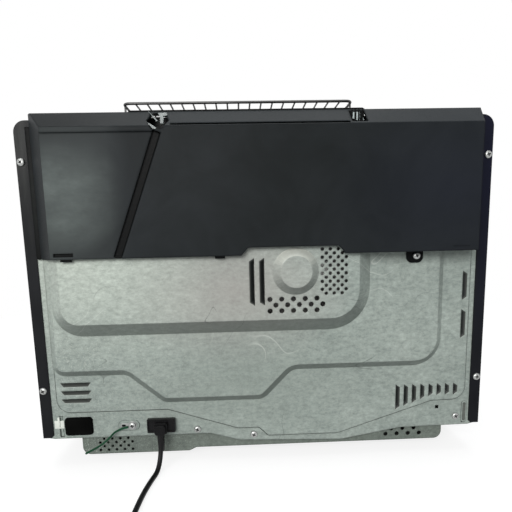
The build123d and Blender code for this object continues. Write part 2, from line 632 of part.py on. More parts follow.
# Cooking chamber shell, open at the front, with the fan opening at the back and the antenna well
FAN_HALF = 115.0
FAN_X0 = BOSS_X - FAN_HALF
FAN_X1 = BOSS_X + FAN_HALF
FAN_Z0 = 118.0
FAN_Z1 = CAVITY_Z1 - 4
FAN_SLOPE = 12.0
LEDGE = 6.0
BOIL_Y0 = FRAME_BACK + 87
STEAM_Y = BOIL_Y0 + 31
STEAM_Z = 245.0
STEAM_R = 5.0
LAMP_Y = FRAME_BACK + 68
LAMP_Z = CAVITY_Z1 - 25
LAMP_R = 9.0
AERIAL_R = 12.0
with BuildPart() as cavity_shell:
    bx(CAVITY_X0 - SHEET, COLUMN_X, FRAME_BACK, CAVITY_BACK, CAVITY_Z0 - SHEET, CAVITY_Z1 + SHEET)
    bx(CAVITY_X0, CAVITY_X1, FRAME_BACK, CAVITY_BACK - SHEET, CAVITY_Z0, CAVITY_Z1, Mode.SUBTRACT)
    window_x0 = FAN_X0 + FAN_SLOPE
    window_x1 = FAN_X1 - FAN_SLOPE
    bx(window_x0, window_x1, CAVITY_BACK - 3, CAVITY_BACK + 1, FAN_Z0 + 10, FAN_Z1 - 10, Mode.SUBTRACT)
    rod_z(WELL_X, WELL_Y, WELL_R, WELL_BOTTOM, CAVITY_Z0 - SHEET)
    rod_z(WELL_X, WELL_Y, WELL_R - SHEET, WELL_BOTTOM + SHEET, CAVITY_Z0 + 0.5, Mode.SUBTRACT)
    rod_z(WELL_X, WELL_Y, AERIAL_R, WELL_BOTTOM - 1, WELL_BOTTOM + 2, Mode.SUBTRACT)
    rod_x(STEAM_Y, STEAM_Z, STEAM_R, CAVITY_X1 - 2, COLUMN_X + 1, Mode.SUBTRACT)
    rod_x(LAMP_Y, LAMP_Z, LAMP_R, CAVITY_X1 - 2, COLUMN_X + 1, Mode.SUBTRACT)
    bx(VENT_X0, VENT_X1, VENT_Y0, VENT_Y1, CAVITY_Z1 - 2, CAVITY_Z1 + 3, Mode.SUBTRACT)
    # shelf ledges pressed out of both side walls
    for ledge_z in (150, 205, 260):
        bx(CAVITY_X0, CAVITY_X0 + LEDGE, FRAME_BACK + 13, CAVITY_BACK - 20, ledge_z, ledge_z + 3)
        bx(CAVITY_X1 - LEDGE, CAVITY_X1, FRAME_BACK + 13, CAVITY_BACK - 20, ledge_z, ledge_z + 3)
save("cavity_shell", cavity_shell.part)

CAVITY_X = (CAVITY_X0 + CAVITY_X1) / 2
with BuildPart() as ceramic_floor:
    bx(CAVITY_X0 + 1, CAVITY_X1 - 1, FRAME_BACK + 4, CAVITY_BACK - 4, CAVITY_Z0, CAVITY_Z0 + 4)
    # fine frame line in the surface
    bx(CAVITY_X - 150, CAVITY_X + 150, -115, 115, CAVITY_Z0 + 3.2, CAVITY_Z0 + 5, Mode.SUBTRACT)
    bx(CAVITY_X - 148, CAVITY_X + 148, -113, 113, CAVITY_Z0 + 3, CAVITY_Z0 + 4)
save("ceramic_floor", ceramic_floor.part)

# Waveguide: a flat duct below the chamber that turns up beside it
GUIDE_Y0 = WELL_Y - 15
GUIDE_Y1 = WELL_Y + 35
GUIDE_X0 = WELL_X - 26
GUIDE_X1 = COLUMN_X + 17
GUIDE_TOP = CAVITY_Z1 - 20
MAGNET_Z = 258.0
MAGNET_R = 9.0
SHAFT_R = 3.0
with BuildPart() as waveguide:
    bx(GUIDE_X0, GUIDE_X1, GUIDE_Y0, GUIDE_Y1, DUCT_BOTTOM, WELL_BOTTOM)
    bx(COLUMN_X + 0.5, GUIDE_X1, GUIDE_Y0, GUIDE_Y1, WELL_BOTTOM, GUIDE_TOP)
    in_y0 = GUIDE_Y0 + 1
    in_y1 = GUIDE_Y1 - 1
    bx(GUIDE_X0 + 1, GUIDE_X1 - 1, in_y0, in_y1, DUCT_BOTTOM + 1, WELL_BOTTOM - 1, Mode.SUBTRACT)
    bx(COLUMN_X + 1.5, GUIDE_X1 - 1, in_y0, in_y1, WELL_BOTTOM - 2, GUIDE_TOP - 1, Mode.SUBTRACT)
    rod_z(WELL_X, WELL_Y, AERIAL_R, WELL_BOTTOM - 2, WELL_BOTTOM + 1, Mode.SUBTRACT)
    rod_z(WELL_X, WELL_Y, SHAFT_R + 0.1, DUCT_BOTTOM - 1, DUCT_BOTTOM + 2, Mode.SUBTRACT)
    rod_x(WELL_Y + 10, MAGNET_Z, MAGNET_R + 1, GUIDE_X1 - 2, GUIDE_X1 + 1, Mode.SUBTRACT)
save("waveguide", waveguide.part)

with BuildPart() as stirrer:
    with BuildSketch(Plane.XY.offset(WELL_BOTTOM + 7)):
        with Locations((WELL_X, WELL_Y)):
            RegularPolygon(62, SIDES)
            with PolarLocations(36, 4):
                Rectangle(22, 26, mode=Mode.SUBTRACT)
    extrude(amount=1.5)
    rod_z(WELL_X, WELL_Y, 6, WELL_BOTTOM + 2, WELL_BOTTOM + 10)
    rod_z(WELL_X, WELL_Y, SHAFT_R, DUCT_BOTTOM - 10, WELL_BOTTOM + 4)
save("stirrer", stirrer.part)

with BuildPart() as stirrer_motor:
    rod_z(WELL_X, WELL_Y, 24, DUCT_BOTTOM - 20, DUCT_BOTTOM)
    bx(WELL_X - 35, WELL_X + 35, WELL_Y - 6, WELL_Y + 6, DUCT_BOTTOM - 2, DUCT_BOTTOM)
    rod_z(WELL_X, WELL_Y, SHAFT_R + 0.06, DUCT_BOTTOM - 14, DUCT_BOTTOM + 1, Mode.SUBTRACT)
save("stirrer_motor", stirrer_motor.part)

# Plate in front of the convection fan: a round grille of slots, and outlet slots at both ends
GRILLE_R = 34.0
BAFFLE_Y = CAVITY_BACK - 4
with BuildPart() as fan_baffle:
    bx(FAN_X0 + 2, FAN_X1 - 2, BAFFLE_Y, BAFFLE_Y + 3, FAN_Z0 + 2, FAN_Z1 - 2)
    bx(FAN_X0 + 4, FAN_X1 - 4, BAFFLE_Y + 1.5, BAFFLE_Y + 4, FAN_Z0 + 4, FAN_Z1 - 4, Mode.SUBTRACT)
    for slot in range(-3, 4):
        slot_x = BOSS_X + 9 * slot
        tall = math.sqrt(GRILLE_R ** 2 - (9 * slot) ** 2)
        left = slot_x - 2.5
        right = slot_x + 2.5
        bx(left, right, BAFFLE_Y - 1, BAFFLE_Y + 4, BOSS_Z - tall, BOSS_Z + tall, Mode.SUBTRACT)
    for end_x in (BOSS_X - 92, BOSS_X + 92):
        for row in range(4):
            outlet_z = BOSS_Z - 55 + 30 * row
            bx(end_x - 4, end_x + 4, BAFFLE_Y - 1, BAFFLE_Y + 4, outlet_z, outlet_z + 20, Mode.SUBTRACT)
save("fan_baffle", fan_baffle.part)

CHAMBER_BACK = CAVITY_BACK + 32
HEATER_R = 84.0
HEATER_END = math.radians(8)
HEATER_X = HEATER_R * math.sin(HEATER_END)
HEATER_Z = BOSS_Z - HEATER_R * math.cos(HEATER_END)
HEATER_Y = CAVITY_BACK + 16
TUBE_R = 3.3
with BuildPart() as fan_chamber:
    bx(FAN_X0, FAN_X1, CAVITY_BACK, CHAMBER_BACK, FAN_Z0, FAN_Z1)
    bx(FAN_X0 + 1, FAN_X1 - 1, CAVITY_BACK, CHAMBER_BACK - 1, FAN_Z0 + 1, FAN_Z1 - 1, Mode.SUBTRACT)
    rod_y(BOSS_X, BOSS_Z, 6, CHAMBER_BACK - 2, CHAMBER_BACK + 2, Mode.SUBTRACT)
    for side in (1, -1):
        end_x = BOSS_X + side * HEATER_X
        bar_y(end_x, HEATER_Z, TUBE_R + 0.2, CHAMBER_BACK - 3, CHAMBER_BACK + 2, Mode.SUBTRACT)
save("fan_chamber", fan_chamber.part)

# Ring heater round the fan
with BuildPart() as convection_heater:
    with BuildLine() as ring_line:
        first = (BOSS_X + HEATER_X, HEATER_Y, HEATER_Z)
        last = (BOSS_X - HEATER_X, HEATER_Y, HEATER_Z)
        ThreePointArc(first, (BOSS_X, HEATER_Y, BOSS_Z + HEATER_R), last)
    with BuildSketch(Plane(origin=first, x_dir=(0, 1, 0), z_dir=ring_line.line % 0)):
        RegularPolygon(TUBE_R, SIDES, rotation=FLAT_TURN)
    sweep(path=ring_line.line)
    for end_point in (first, last):
        bar_y(end_point[0], end_point[2], TUBE_R, HEATER_Y, CHAMBER_BACK + 4)
save("convection_heater", convection_heater.part)

with BuildPart() as convection_motor:
    rod_y(BOSS_X, BOSS_Z, 22, CHAMBER_BACK, CHAMBER_BACK + 24)
    rod_y(BOSS_X, BOSS_Z, 12, CHAMBER_BACK + 24, CHAMBER_BACK + 32)
    bx(BOSS_X - 40, BOSS_X + 40, CHAMBER_BACK, CHAMBER_BACK + 2, BOSS_Z - 8, BOSS_Z + 8)
    rod_y(BOSS_X, BOSS_Z, 4.06, CHAMBER_BACK - 1, CHAMBER_BACK + 20, Mode.SUBTRACT)
save("convection_motor", convection_motor.part)

FAN_R = 72.0
FAN_Y = CAVITY_BACK + 22
with BuildPart() as convection_fan:
    rod_y(BOSS_X, BOSS_Z, FAN_R, FAN_Y, FAN_Y + 1.2)
    rod_y(BOSS_X, BOSS_Z, 12, FAN_Y - 12, FAN_Y + 4)
    rod_y(BOSS_X, BOSS_Z, 4.0, FAN_Y + 4, CHAMBER_BACK + 18)
    for blade in range(12):
        with Locations(Location((BOSS_X, FAN_Y - 6, BOSS_Z), (0, 30 * blade, 0))):
            with Locations(((FAN_R + 30) / 2 - 2, 0, 0)):
                Box(FAN_R - 32, 13, 1.2)
save("convection_fan", convection_fan.part)

# Grill heater under the chamber roof
GRILL_Z = CAVITY_Z1 - 10
GRILL_Y0 = FRAME_BACK + 33
GRILL_Y1 = CAVITY_BACK - 30
GRILL_XS = (CAVITY_X0 + 36, CAVITY_X0 + 116, CAVITY_X1 - 190, CAVITY_X1 - 104)
grill_points = [
    Vector(GRILL_XS[0], GRILL_Y1, GRILL_Z),
    Vector(GRILL_XS[0], GRILL_Y0, GRILL_Z),
    Vector(GRILL_XS[1], GRILL_Y0, GRILL_Z),
    Vector(GRILL_XS[1], GRILL_Y1 - 20, GRILL_Z),
    Vector(GRILL_XS[2], GRILL_Y1 - 20, GRILL_Z),
    Vector(GRILL_XS[2], GRILL_Y0, GRILL_Z),
    Vector(GRILL_XS[3], GRILL_Y0, GRILL_Z),
    Vector(GRILL_XS[3], GRILL_Y1, GRILL_Z),
]
with BuildPart() as grill_heater:
    with BuildLine() as grill_line:
        FilletPolyline(grill_points, radius=18)
    with BuildSketch(Plane(origin=grill_points[0], x_dir=(1, 0, 0), z_dir=(0, -1, 0))):
        RegularPolygon(TUBE_R, SIDES, rotation=FLAT_TURN)
    sweep(path=grill_line.line)
    for tube_x in (GRILL_XS[0], GRILL_XS[3]):
        bx(tube_x - 2.5, tube_x + 2.5, GRILL_Y1 - 5, GRILL_Y1, GRILL_Z, CAVITY_Z1)
    for clip_x in (GRILL_XS[1], GRILL_XS[2]):
        bx(clip_x - 5, clip_x + 5, -44, -36, GRILL_Z + 3, CAVITY_Z1)
save("grill_heater", grill_heater.part)

# Oven tray on the lowest pair of ledges
TRAY_Z = 153.0
TRAY_Y0 = FRAME_BACK + 16
TRAY_Y1 = CAVITY_BACK - 23
TRAY_DEEP = 16.0
TRAY_T = 1.4
with BuildPart() as oven_tray:
    rim_x0 = CAVITY_X0 + 0.7
    rim_x1 = CAVITY_X1 - 0.7
    bx(rim_x0, rim_x1, TRAY_Y0, TRAY_Y1, TRAY_Z, TRAY_Z + TRAY_T)
    tray_w = rim_x1 - rim_x0 - 18.6
    tray_d = TRAY_Y1 - TRAY_Y0 - 16
    tray_middle = (CAVITY_X, (TRAY_Y0 + TRAY_Y1) / 2)
    with BuildSketch(Plane.XY.offset(TRAY_Z - TRAY_DEEP)):
        with Locations(tray_middle):
            RectangleRounded(tray_w, tray_d, 20)
    extrude(amount=TRAY_DEEP + TRAY_T)
    with BuildSketch(Plane.XY.offset(TRAY_Z - TRAY_DEEP + TRAY_T)):
        with Locations(tray_middle):
            RectangleRounded(tray_w - 2 * TRAY_T, tray_d - 2 * TRAY_T, 20 - TRAY_T)
    extrude(amount=TRAY_DEEP + 4, mode=Mode.SUBTRACT)
save("oven_tray", oven_tray.part)

with BuildPart() as insulation_blanket:
    blanket_z = CAVITY_Z1 + SHEET
    bx(CAVITY_X0 + 4, CAVITY_X1 - 4, FRAME_BACK + 8, VENT_Y0 - 14, blanket_z, blanket_z + 11)
save("insulation_blanket", insulation_blanket.part)

# Magnetron, its transformer board and the cooling fan in the column beside the chamber
with BuildPart() as magnetron:
    yoke_x = GUIDE_X1 + 6
    bx(GUIDE_X1, yoke_x, GUIDE_Y0 - 2, GUIDE_Y1 + 2, MAGNET_Z - 44, MAGNET_Z + 40)
    bx(yoke_x, HALF - 14, GUIDE_Y0 + 4, GUIDE_Y1 - 4, MAGNET_Z - 32, MAGNET_Z + 32)
    for fin in range(7):
        fin_x = yoke_x + 6 + 7 * fin
        bx(fin_x, fin_x + 1.5, GUIDE_Y0 - 1, GUIDE_Y1 + 1, MAGNET_Z - 36, MAGNET_Z + 36)
    rod_x(WELL_Y + 10, MAGNET_Z, MAGNET_R, COLUMN_X + 3, GUIDE_X1 + 1)
save("magnetron", magnetron.part)

BOARD_X = HALF - 70
BOARD_Y = REAR - 88.5
with BuildPart() as inverter_board:
    bx(BOARD_X, BOARD_X + 1.6, BOARD_Y, BOARD_Y + 80, 50, 160)
    bx(BOARD_X + 1.6, BOARD_X + 42, BOARD_Y + 8, BOARD_Y + 48, 60, 100)
    bx(BOARD_X + 1.6, BOARD_X + 24, BOARD_Y + 10, BOARD_Y + 72, 112, 150)
    for fin in range(6):
        fin_y = BOARD_Y + 12 + 10 * fin
        bx(BOARD_X + 24, BOARD_X + 34, fin_y, fin_y + 2, 112, 150)
    for stand_y in (BOARD_Y + 4, BOARD_Y + 70):
        bx(BOARD_X - 2, BOARD_X + 6, stand_y, stand_y + 4, PAN_BOTTOM + SHEET, 50)
save("inverter_board", inverter_board.part)

COOL_X = HALF - 46
COOL_Z = 250.0
COOL_HALF = 40.0
COOL_Y = REAR - 40.5
with BuildPart() as cooling_fan_frame:
    bx(COOL_X - COOL_HALF, COOL_X + COOL_HALF, COOL_Y, COOL_Y + 28, COOL_Z - COOL_HALF, COOL_Z + COOL_HALF)
    rod_y(COOL_X, COOL_Z, COOL_HALF - 3, COOL_Y - 1, COOL_Y + 29, Mode.SUBTRACT)
    rod_y(COOL_X, COOL_Z, 15, COOL_Y + 20, COOL_Y + 28)
    bx(COOL_X - COOL_HALF, COOL_X + COOL_HALF, COOL_Y + 24, COOL_Y + 27, COOL_Z - 3, COOL_Z + 3)
    bx(COOL_X - 3, COOL_X + 3, COOL_Y + 24, COOL_Y + 27, COOL_Z - COOL_HALF, COOL_Z + COOL_HALF)
    rod_y(COOL_X, COOL_Z, 2.05, COOL_Y + 18, COOL_Y + 27, Mode.SUBTRACT)
    bx(COOL_X + COOL_HALF, INSIDE, COOL_Y + 2, COOL_Y + 4, COOL_Z - 20, COOL_Z + 20)
save("cooling_fan_frame", cooling_fan_frame.part)

with BuildPart() as cooling_rotor:
    rod_y(COOL_X, COOL_Z, 13, COOL_Y + 4, COOL_Y + 18)
    rod_y(COOL_X, COOL_Z, 2.0, COOL_Y + 18, COOL_Y + 26)
    for blade in range(7):
        with Locations(Location((COOL_X, COOL_Y + 11, COOL_Z), (0, 360 / 7 * blade, 0))):
            with Locations(Location((23.5, 0, 0), (35, 0, 0))):
                Box(23, 13, 1.4)
save("cooling_rotor", cooling_rotor.part)

# Water side: bay, pump, feed pipe, boiler
BAY_WALL = 1.5
BAY_BACK = TANK_BACK + 12
with BuildPart() as tank_bay:
    bx(BAY_X0, BAY_X1, FRAME_BACK, BAY_BACK, TANK_Z0 - 1, TANK_Z1 + 3)
    bay_in = (BAY_X0 + BAY_WALL, BAY_X1 - BAY_WALL)
    bx(bay_in[0], bay_in[1], FRAME_BACK, BAY_BACK - 2, TANK_Z0 + 0.5, TANK_Z1 + 1.5, Mode.SUBTRACT)
    rod_y(PUMP_X, PUMP_Z, 6.2, BAY_BACK - 3, BAY_BACK + 2, Mode.SUBTRACT)
save("tank_bay", tank_bay.part)

PIPE_R = 3.5
PIPE_Y = BAY_BACK + 38
with BuildPart() as water_pump:
    rod_y(PUMP_X, PUMP_Z, 6.0, BAY_BACK - 6, BAY_BACK + 2)
    rod_y(PUMP_X, PUMP_Z, 16, BAY_BACK + 2, BAY_BACK + 46)
    rod_y(PUMP_X, PUMP_Z, 11, BAY_BACK + 46, BAY_BACK + 54)
    rod_z(PUMP_X, PIPE_Y, PIPE_R, PUMP_Z, PUMP_Z + 26)
    bx(PUMP_X - 15, PUMP_X + 15, BAY_BACK + 8, BAY_BACK + 14, PAN_TOP + SHEET, PUMP_Z - 12)
save("water_pump", water_pump.part)

BOIL_Z0 = 212.0
BOIL_Z1 = 278.0
BOIL_X = COLUMN_X + 13
BOIL_IN_Y = BOIL_Y0 + 46
with BuildPart() as steam_generator:
    bx(COLUMN_X, COLUMN_X + 26, BOIL_Y0, BOIL_Y0 + 58, BOIL_Z0, BOIL_Z1)
    for rib in range(5):
        rib_y = BOIL_Y0 + 4 + 11 * rib
        bx(COLUMN_X + 26, COLUMN_X + 32, rib_y, rib_y + 4, BOIL_Z0 + 4, BOIL_Z1 - 4)
    rod_x(STEAM_Y, STEAM_Z, STEAM_R - 0.1, CAVITY_X1 - 4, COLUMN_X + 1)
    rod_z(BOIL_X, BOIL_IN_Y, 4, BOIL_Z0 - 10, BOIL_Z0)
save("steam_generator", steam_generator.part)

pipe_points = [
    Vector(PUMP_X, PIPE_Y, PUMP_Z + 26),
    Vector(PUMP_X, PIPE_Y, 192),
    Vector(PUMP_X, PIPE_Y - 60, 196),
    Vector(BOIL_X, BOIL_IN_Y, 190),
    Vector(BOIL_X, BOIL_IN_Y, BOIL_Z0 - 10),
]
with BuildPart() as feed_pipe:
    with BuildLine() as pipe_line:
        FilletPolyline(pipe_points, radius=[16, 14, 4])
    with BuildSketch(Plane(origin=pipe_points[0], z_dir=(0, 0, 1))):
        RegularPolygon(PIPE_R, SIDES)
    sweep(path=pipe_line.line)
save("feed_pipe", feed_pipe.part)

with BuildPart() as oven_lamp:
    rod_x(LAMP_Y, LAMP_Z, LAMP_R - 0.2, CAVITY_X1 - 1, COLUMN_X + 24)
    bx(COLUMN_X, COLUMN_X + 8, LAMP_Y - 13, LAMP_Y + 13, LAMP_Z - 13, LAMP_Z + 13)
save("oven_lamp", oven_lamp.part)

LATCH_Z = DOOR_Z1 - 33
with BuildPart() as door_switches:
    for latch_x in LATCHES:
        bx(latch_x + 9, latch_x + 19, FRAME_BACK, FRAME_BACK + 22, LATCH_Z - 5, LATCH_Z + 13)
        bx(latch_x + 6.5, latch_x + 9, FRAME_BACK + 8, FRAME_BACK + 12, LATCH_Z + 1, LATCH_Z + 7)
save("door_switches", door_switches.part)

# Hinge brackets on the front frame
BRACKETS = [(DOOR_X0 + 13, DOOR_X0 + 21), (DOOR_X1 - 21, DOOR_X1 - 13)]
with BuildPart() as hinge_brackets:
    for left, right in BRACKETS:
        rod_x(HINGE_Y, HINGE_Z, HINGE_IN, left, right)
        bx(left, right, HINGE_Y, FRONT, HINGE_Z - HINGE_IN, HINGE_Z + HINGE_IN)
        rod_x(HINGE_Y, HINGE_Z, PIN_R + PIN_FIT, left - 1, right + 1, Mode.SUBTRACT)
save("hinge_brackets", hinge_brackets.part)

# Door: moulded frame, outer pane, inner metal plate with its pane, seal, handle
WINDOW_IN = 44.0
wx0 = DOOR_X0 + WINDOW_IN
wx1 = DOOR_X1 - WINDOW_IN
wz0 = DOOR_Z0 + 46
wz1 = DOOR_Z1 - 52
PANE_LAP = 8.0
SEAL_W = 10.0
NOTCH = 10.0
CHOKE_Y = DOOR_BACK - 4.0
CHOKE_X0 = DOOR_X0 + 12
CHOKE_X1 = DOOR_X1 - 12
CHOKE_Z0 = DOOR_Z0 + 26
CHOKE_Z1 = DOOR_Z1 - 10
with BuildPart() as door_frame:
    bx(DOOR_X0, DOOR_X1, DOOR_FACE, DOOR_BACK, DOOR_Z0, DOOR_Z1)
    hinge_edge = door_frame.edges().filter_by(Axis.X).group_by(Axis.Y)[-1].sort_by(Axis.Z)[0]
    fillet(hinge_edge, radius=HINGE_IN - 0.01)
    fillet(door_frame.edges().filter_by(Axis.Z).group_by(Axis.Y)[0], radius=3)
    fillet(door_frame.edges().filter_by(Axis.X).group_by(Axis.Y)[0].sort_by(Axis.Z)[-1], radius=3)
    bx(wx0, wx1, DOOR_FACE - 1, DOOR_BACK + 1, wz0, wz1, Mode.SUBTRACT)
    lap = PANE_LAP
    bx(wx0 - lap, wx1 + lap, DOOR_FACE - 1, DOOR_FACE + 4, wz0 - lap, wz1 + lap, Mode.SUBTRACT)
    bx(CHOKE_X0, CHOKE_X1, CHOKE_Y, DOOR_BACK + 1, CHOKE_Z0, CHOKE_Z1, Mode.SUBTRACT)
    for left, right in BRACKETS:
        x0 = left - 0.5
        x1 = right + 0.5
        bx(x0, x1, HINGE_Y - NOTCH, DOOR_BACK + 1, DOOR_Z0 - 1, HINGE_Z + NOTCH, Mode.SUBTRACT)
        rod_x(HINGE_Y, HINGE_Z, PIN_R, x0 - 1, x1 + 1)
save("door_frame", door_frame.part)

with BuildPart() as door_glass:
    bx(wx0 - PANE_LAP, wx1 + PANE_LAP, DOOR_FACE, DOOR_FACE + 4, wz0 - PANE_LAP, wz1 + PANE_LAP)
save("door_glass", door_glass.part)

with BuildPart() as door_choke:
    bx(CHOKE_X0, CHOKE_X1, CHOKE_Y, DOOR_BACK, CHOKE_Z0, CHOKE_Z1)
    bx(wx0 + 6, wx1 - 6, CHOKE_Y - 1, DOOR_BACK + 1, wz0 + 6, wz1 - 6, Mode.SUBTRACT)
    seal = SEAL_W
    bx(wx0 - seal, wx1 + seal, DOOR_BACK - 2, DOOR_BACK + 1, wz0 - seal, wz1 + seal, Mode.SUBTRACT)
save("door_choke", door_choke.part)

with BuildPart() as door_inner_glass:
    bx(wx0, wx1, DOOR_BACK - 2, DOOR_BACK + 0.1, wz0, wz1)
save("door_inner_glass", door_inner_glass.part)

with BuildPart() as door_seal:
    bx(wx0 - SEAL_W, wx1 + SEAL_W, DOOR_BACK - 2, DOOR_BACK + 0.3, wz0 - SEAL_W, wz1 + SEAL_W)
    bx(wx0, wx1, DOOR_BACK - 3, DOOR_BACK + 1, wz0, wz1, Mode.SUBTRACT)
save("door_seal", door_seal.part)

HANDLE_Z = DOOR_Z1 - 18
HANDLE_IN = 53.0
with BuildPart() as door_handle:
    with BuildSketch(Plane.YZ.offset(DOOR_X0 + HANDLE_IN)):
        with Locations((-DEPTH / 2 + 6.5, HANDLE_Z)):
            RectangleRounded(13, 18, 5)
    extrude(amount=DOOR_X1 - DOOR_X0 - 2 * HANDLE_IN)
    for post_x in (DOOR_X0 + HANDLE_IN + 16, DOOR_X1 - HANDLE_IN - 16):
        bx(post_x - 8, post_x + 8, -DEPTH / 2 + 8, DOOR_FACE, HANDLE_Z - 6, HANDLE_Z + 6)
save("door_handle", door_handle.part)

with BuildPart() as latch_hooks:
    for latch_x in LATCHES:
        bx(latch_x - 3, latch_x + 3, DOOR_BACK, FRAME_BACK + 14, LATCH_Z, LATCH_Z + 7)
        bx(latch_x - 3, latch_x + 3, FRAME_BACK + 9, FRAME_BACK + 14, LATCH_Z - 1.5, LATCH_Z)
        bx(latch_x - 6, latch_x + 6, DOOR_BACK, DOOR_BACK + 0.3, LATCH_Z, LATCH_Z + 7)
save("latch_hooks", latch_hooks.part)

# Control column: moulded housing, display, dial, two push buttons and the circuit board
DISPLAY_Z0 = DOOR_Z1 - 62
DISPLAY_Z1 = DOOR_Z1 - 16
BUTTON_R = 7.25
BUTTON_FIT = 0.05
DIAL_HUB = 4.95
BUTTONS = [("stop_button", DIAL_X - 19.5, 279), ("start_button", DIAL_X + 19.5, 279)]
with BuildPart() as control_panel:
    bx(PANEL_X0, PANEL_X1, DOOR_FACE, FRONT, DOOR_Z0, DOOR_Z1)
    fillet(control_panel.edges().filter_by(Axis.Z).group_by(Axis.Y)[0], radius=3)
    fillet(control_panel.edges().filter_by(Axis.X).group_by(Axis.Y)[0].sort_by(Axis.Z)[-1], radius=3)
    bx(PANEL_X0 + 3, PANEL_X1 - 3, DOOR_FACE + 3, FRONT + 1, TANK_Z1 + 9, DOOR_Z1 - 3, Mode.SUBTRACT)
    bx(TANK_X0 - 1, TANK_X1 + 1, DOOR_FACE - 1, FRONT + 1, TANK_Z0 - 1, TANK_Z1 + 1, Mode.SUBTRACT)
    bx(PANEL_X0 + 12, PANEL_X1 - 12, DOOR_FACE - 1, DOOR_FACE + 4, DISPLAY_Z0, DISPLAY_Z1, Mode.SUBTRACT)
    rod_y(DIAL_X, DIAL_Z, DIAL_HUB + 0.05, DOOR_FACE - 1, DOOR_FACE + 5, Mode.SUBTRACT)
    for button, button_x, button_z in BUTTONS:
        rod_y(button_x, button_z, BUTTON_R + BUTTON_FIT, DOOR_FACE - 1, DOOR_FACE + 5, Mode.SUBTRACT)
save("control_panel", control_panel.part)

with BuildPart() as display_window:
    bx(PANEL_X0 + 12, PANEL_X1 - 12, DOOR_FACE, DOOR_FACE + 3, DISPLAY_Z0, DISPLAY_Z1)
    bx(PANEL_X0 + 10, PANEL_X1 - 10, DOOR_FACE + 3, DOOR_FACE + 4.5, DISPLAY_Z0 - 2, DISPLAY_Z1 + 2)
save("display_window", display_window.part)

PCB_Y = FRONT - 12
with BuildPart() as control_board:
    bx(PANEL_X0 + 6, PANEL_X1 - 6, PCB_Y, PCB_Y + 1.6, TANK_Z1 + 19, DISPLAY_Z1 + 8)
    bx(PANEL_X0 + 14, PANEL_X1 - 14, PCB_Y - 8, PCB_Y, DISPLAY_Z0 + 2, DISPLAY_Z1 - 2)
    rod_y(DIAL_X, DIAL_Z, 9, PCB_Y - 6, PCB_Y)
    rod_y(DIAL_X, DIAL_Z, PIN_R + PIN_FIT, PCB_Y - 7, PCB_Y + 1, Mode.SUBTRACT)
    for post_x in (PANEL_X0 + 8, PANEL_X1 - 8):
        for post_z in (TANK_Z1 + 39, DISPLAY_Z1 - 18):
            bx(post_x - 2, post_x + 2, PCB_Y + 1.6, FRONT, post_z, post_z + 8)
save("control_board", control_board.part)

with BuildPart() as dial_knob:
    rod_y(DIAL_X, DIAL_Z, DIAL_R, DOOR_FACE - 14, DOOR_FACE - 0.6)
    chamfer(dial_knob.edges().group_by(Axis.Y)[0], length=1.5)
    rod_y(DIAL_X, DIAL_Z, DIAL_HUB, DOOR_FACE - 0.6, DOOR_FACE + 6)
    rod_y(DIAL_X, DIAL_Z, PIN_R, DOOR_FACE + 6, PCB_Y - 0.5)
    bx(DIAL_X - 1, DIAL_X + 1, DOOR_FACE - 15, DOOR_FACE - 13.2, DIAL_Z + 8, DIAL_Z + 18, Mode.SUBTRACT)
save("dial_knob", dial_knob.part)

for button, button_x, button_z in BUTTONS:
    with BuildPart() as push_button:
        rod_y(button_x, button_z, BUTTON_R, DOOR_FACE - 1.8, DOOR_FACE + 3)
        bar_y(button_x, button_z, BUTTON_R + 1.5, DOOR_FACE + 3, DOOR_FACE + 4)
        bar_y(button_x, button_z, 2.5, DOOR_FACE + 4, DOOR_FACE + 12)
    save(button, push_button.part)

# Water tank drawer
GRIP_HALF = 19.5
with BuildPart() as tank_front:
    bx(TANK_X0, TANK_X1, DOOR_FACE, TANK_JOIN, TANK_Z0, TANK_Z1)
    bx(TANK_X0 + 3, TANK_X1 - 3, DOOR_FACE + 20, TANK_JOIN + 1, TANK_Z0 + 3, TANK_Z1 - 3, Mode.SUBTRACT)
    bx(DIAL_X - GRIP_HALF, DIAL_X + GRIP_HALF, DOOR_FACE - 1, DOOR_FACE + 16, 128, 160, Mode.SUBTRACT)
save("tank_front", tank_front.part)

TANK_SIDE = 1.6
TANK_WALL = 2.0
TANK_TOP = TANK_Z1 - 5
with BuildPart() as tank_body:
    tank_x0 = TANK_X0 + TANK_SIDE
    tank_x1 = TANK_X1 - TANK_SIDE
    open_tray(tank_x0, tank_x1, TANK_JOIN, TANK_BACK, TANK_Z0 + 1, TANK_TOP, TANK_WALL)
    rod_y(PUMP_X, PUMP_Z, 6.1, TANK_BACK - 3, TANK_BACK + 1, Mode.SUBTRACT)
    for divider in (62, 132):
        divider_y = TANK_JOIN + divider
        bx(tank_x0 + 1, tank_x1 - 1, divider_y, divider_y + 1.5, TANK_Z0 + 2, 120)
save("tank_body", tank_body.part)

with BuildPart() as tank_lid:
    bx(tank_x0, tank_x1, TANK_JOIN, TANK_BACK, TANK_TOP, TANK_TOP + 2)
    bx(tank_x0 + 2.4, tank_x1 - 2.4, TANK_JOIN + 2.5, TANK_BACK - 2.5, TANK_TOP - 2, TANK_TOP)
    rim = 4.4
    lid_y0 = TANK_JOIN + 5
    bx(tank_x0 + rim, tank_x1 - rim, lid_y0, TANK_BACK - 5, TANK_TOP - 3, TANK_TOP - 0.2, Mode.SUBTRACT)
    rod_z(DIAL_X, TANK_JOIN + 42, 12, TANK_TOP - 1, TANK_TOP + 3, Mode.SUBTRACT)
save("tank_lid", tank_lid.part)

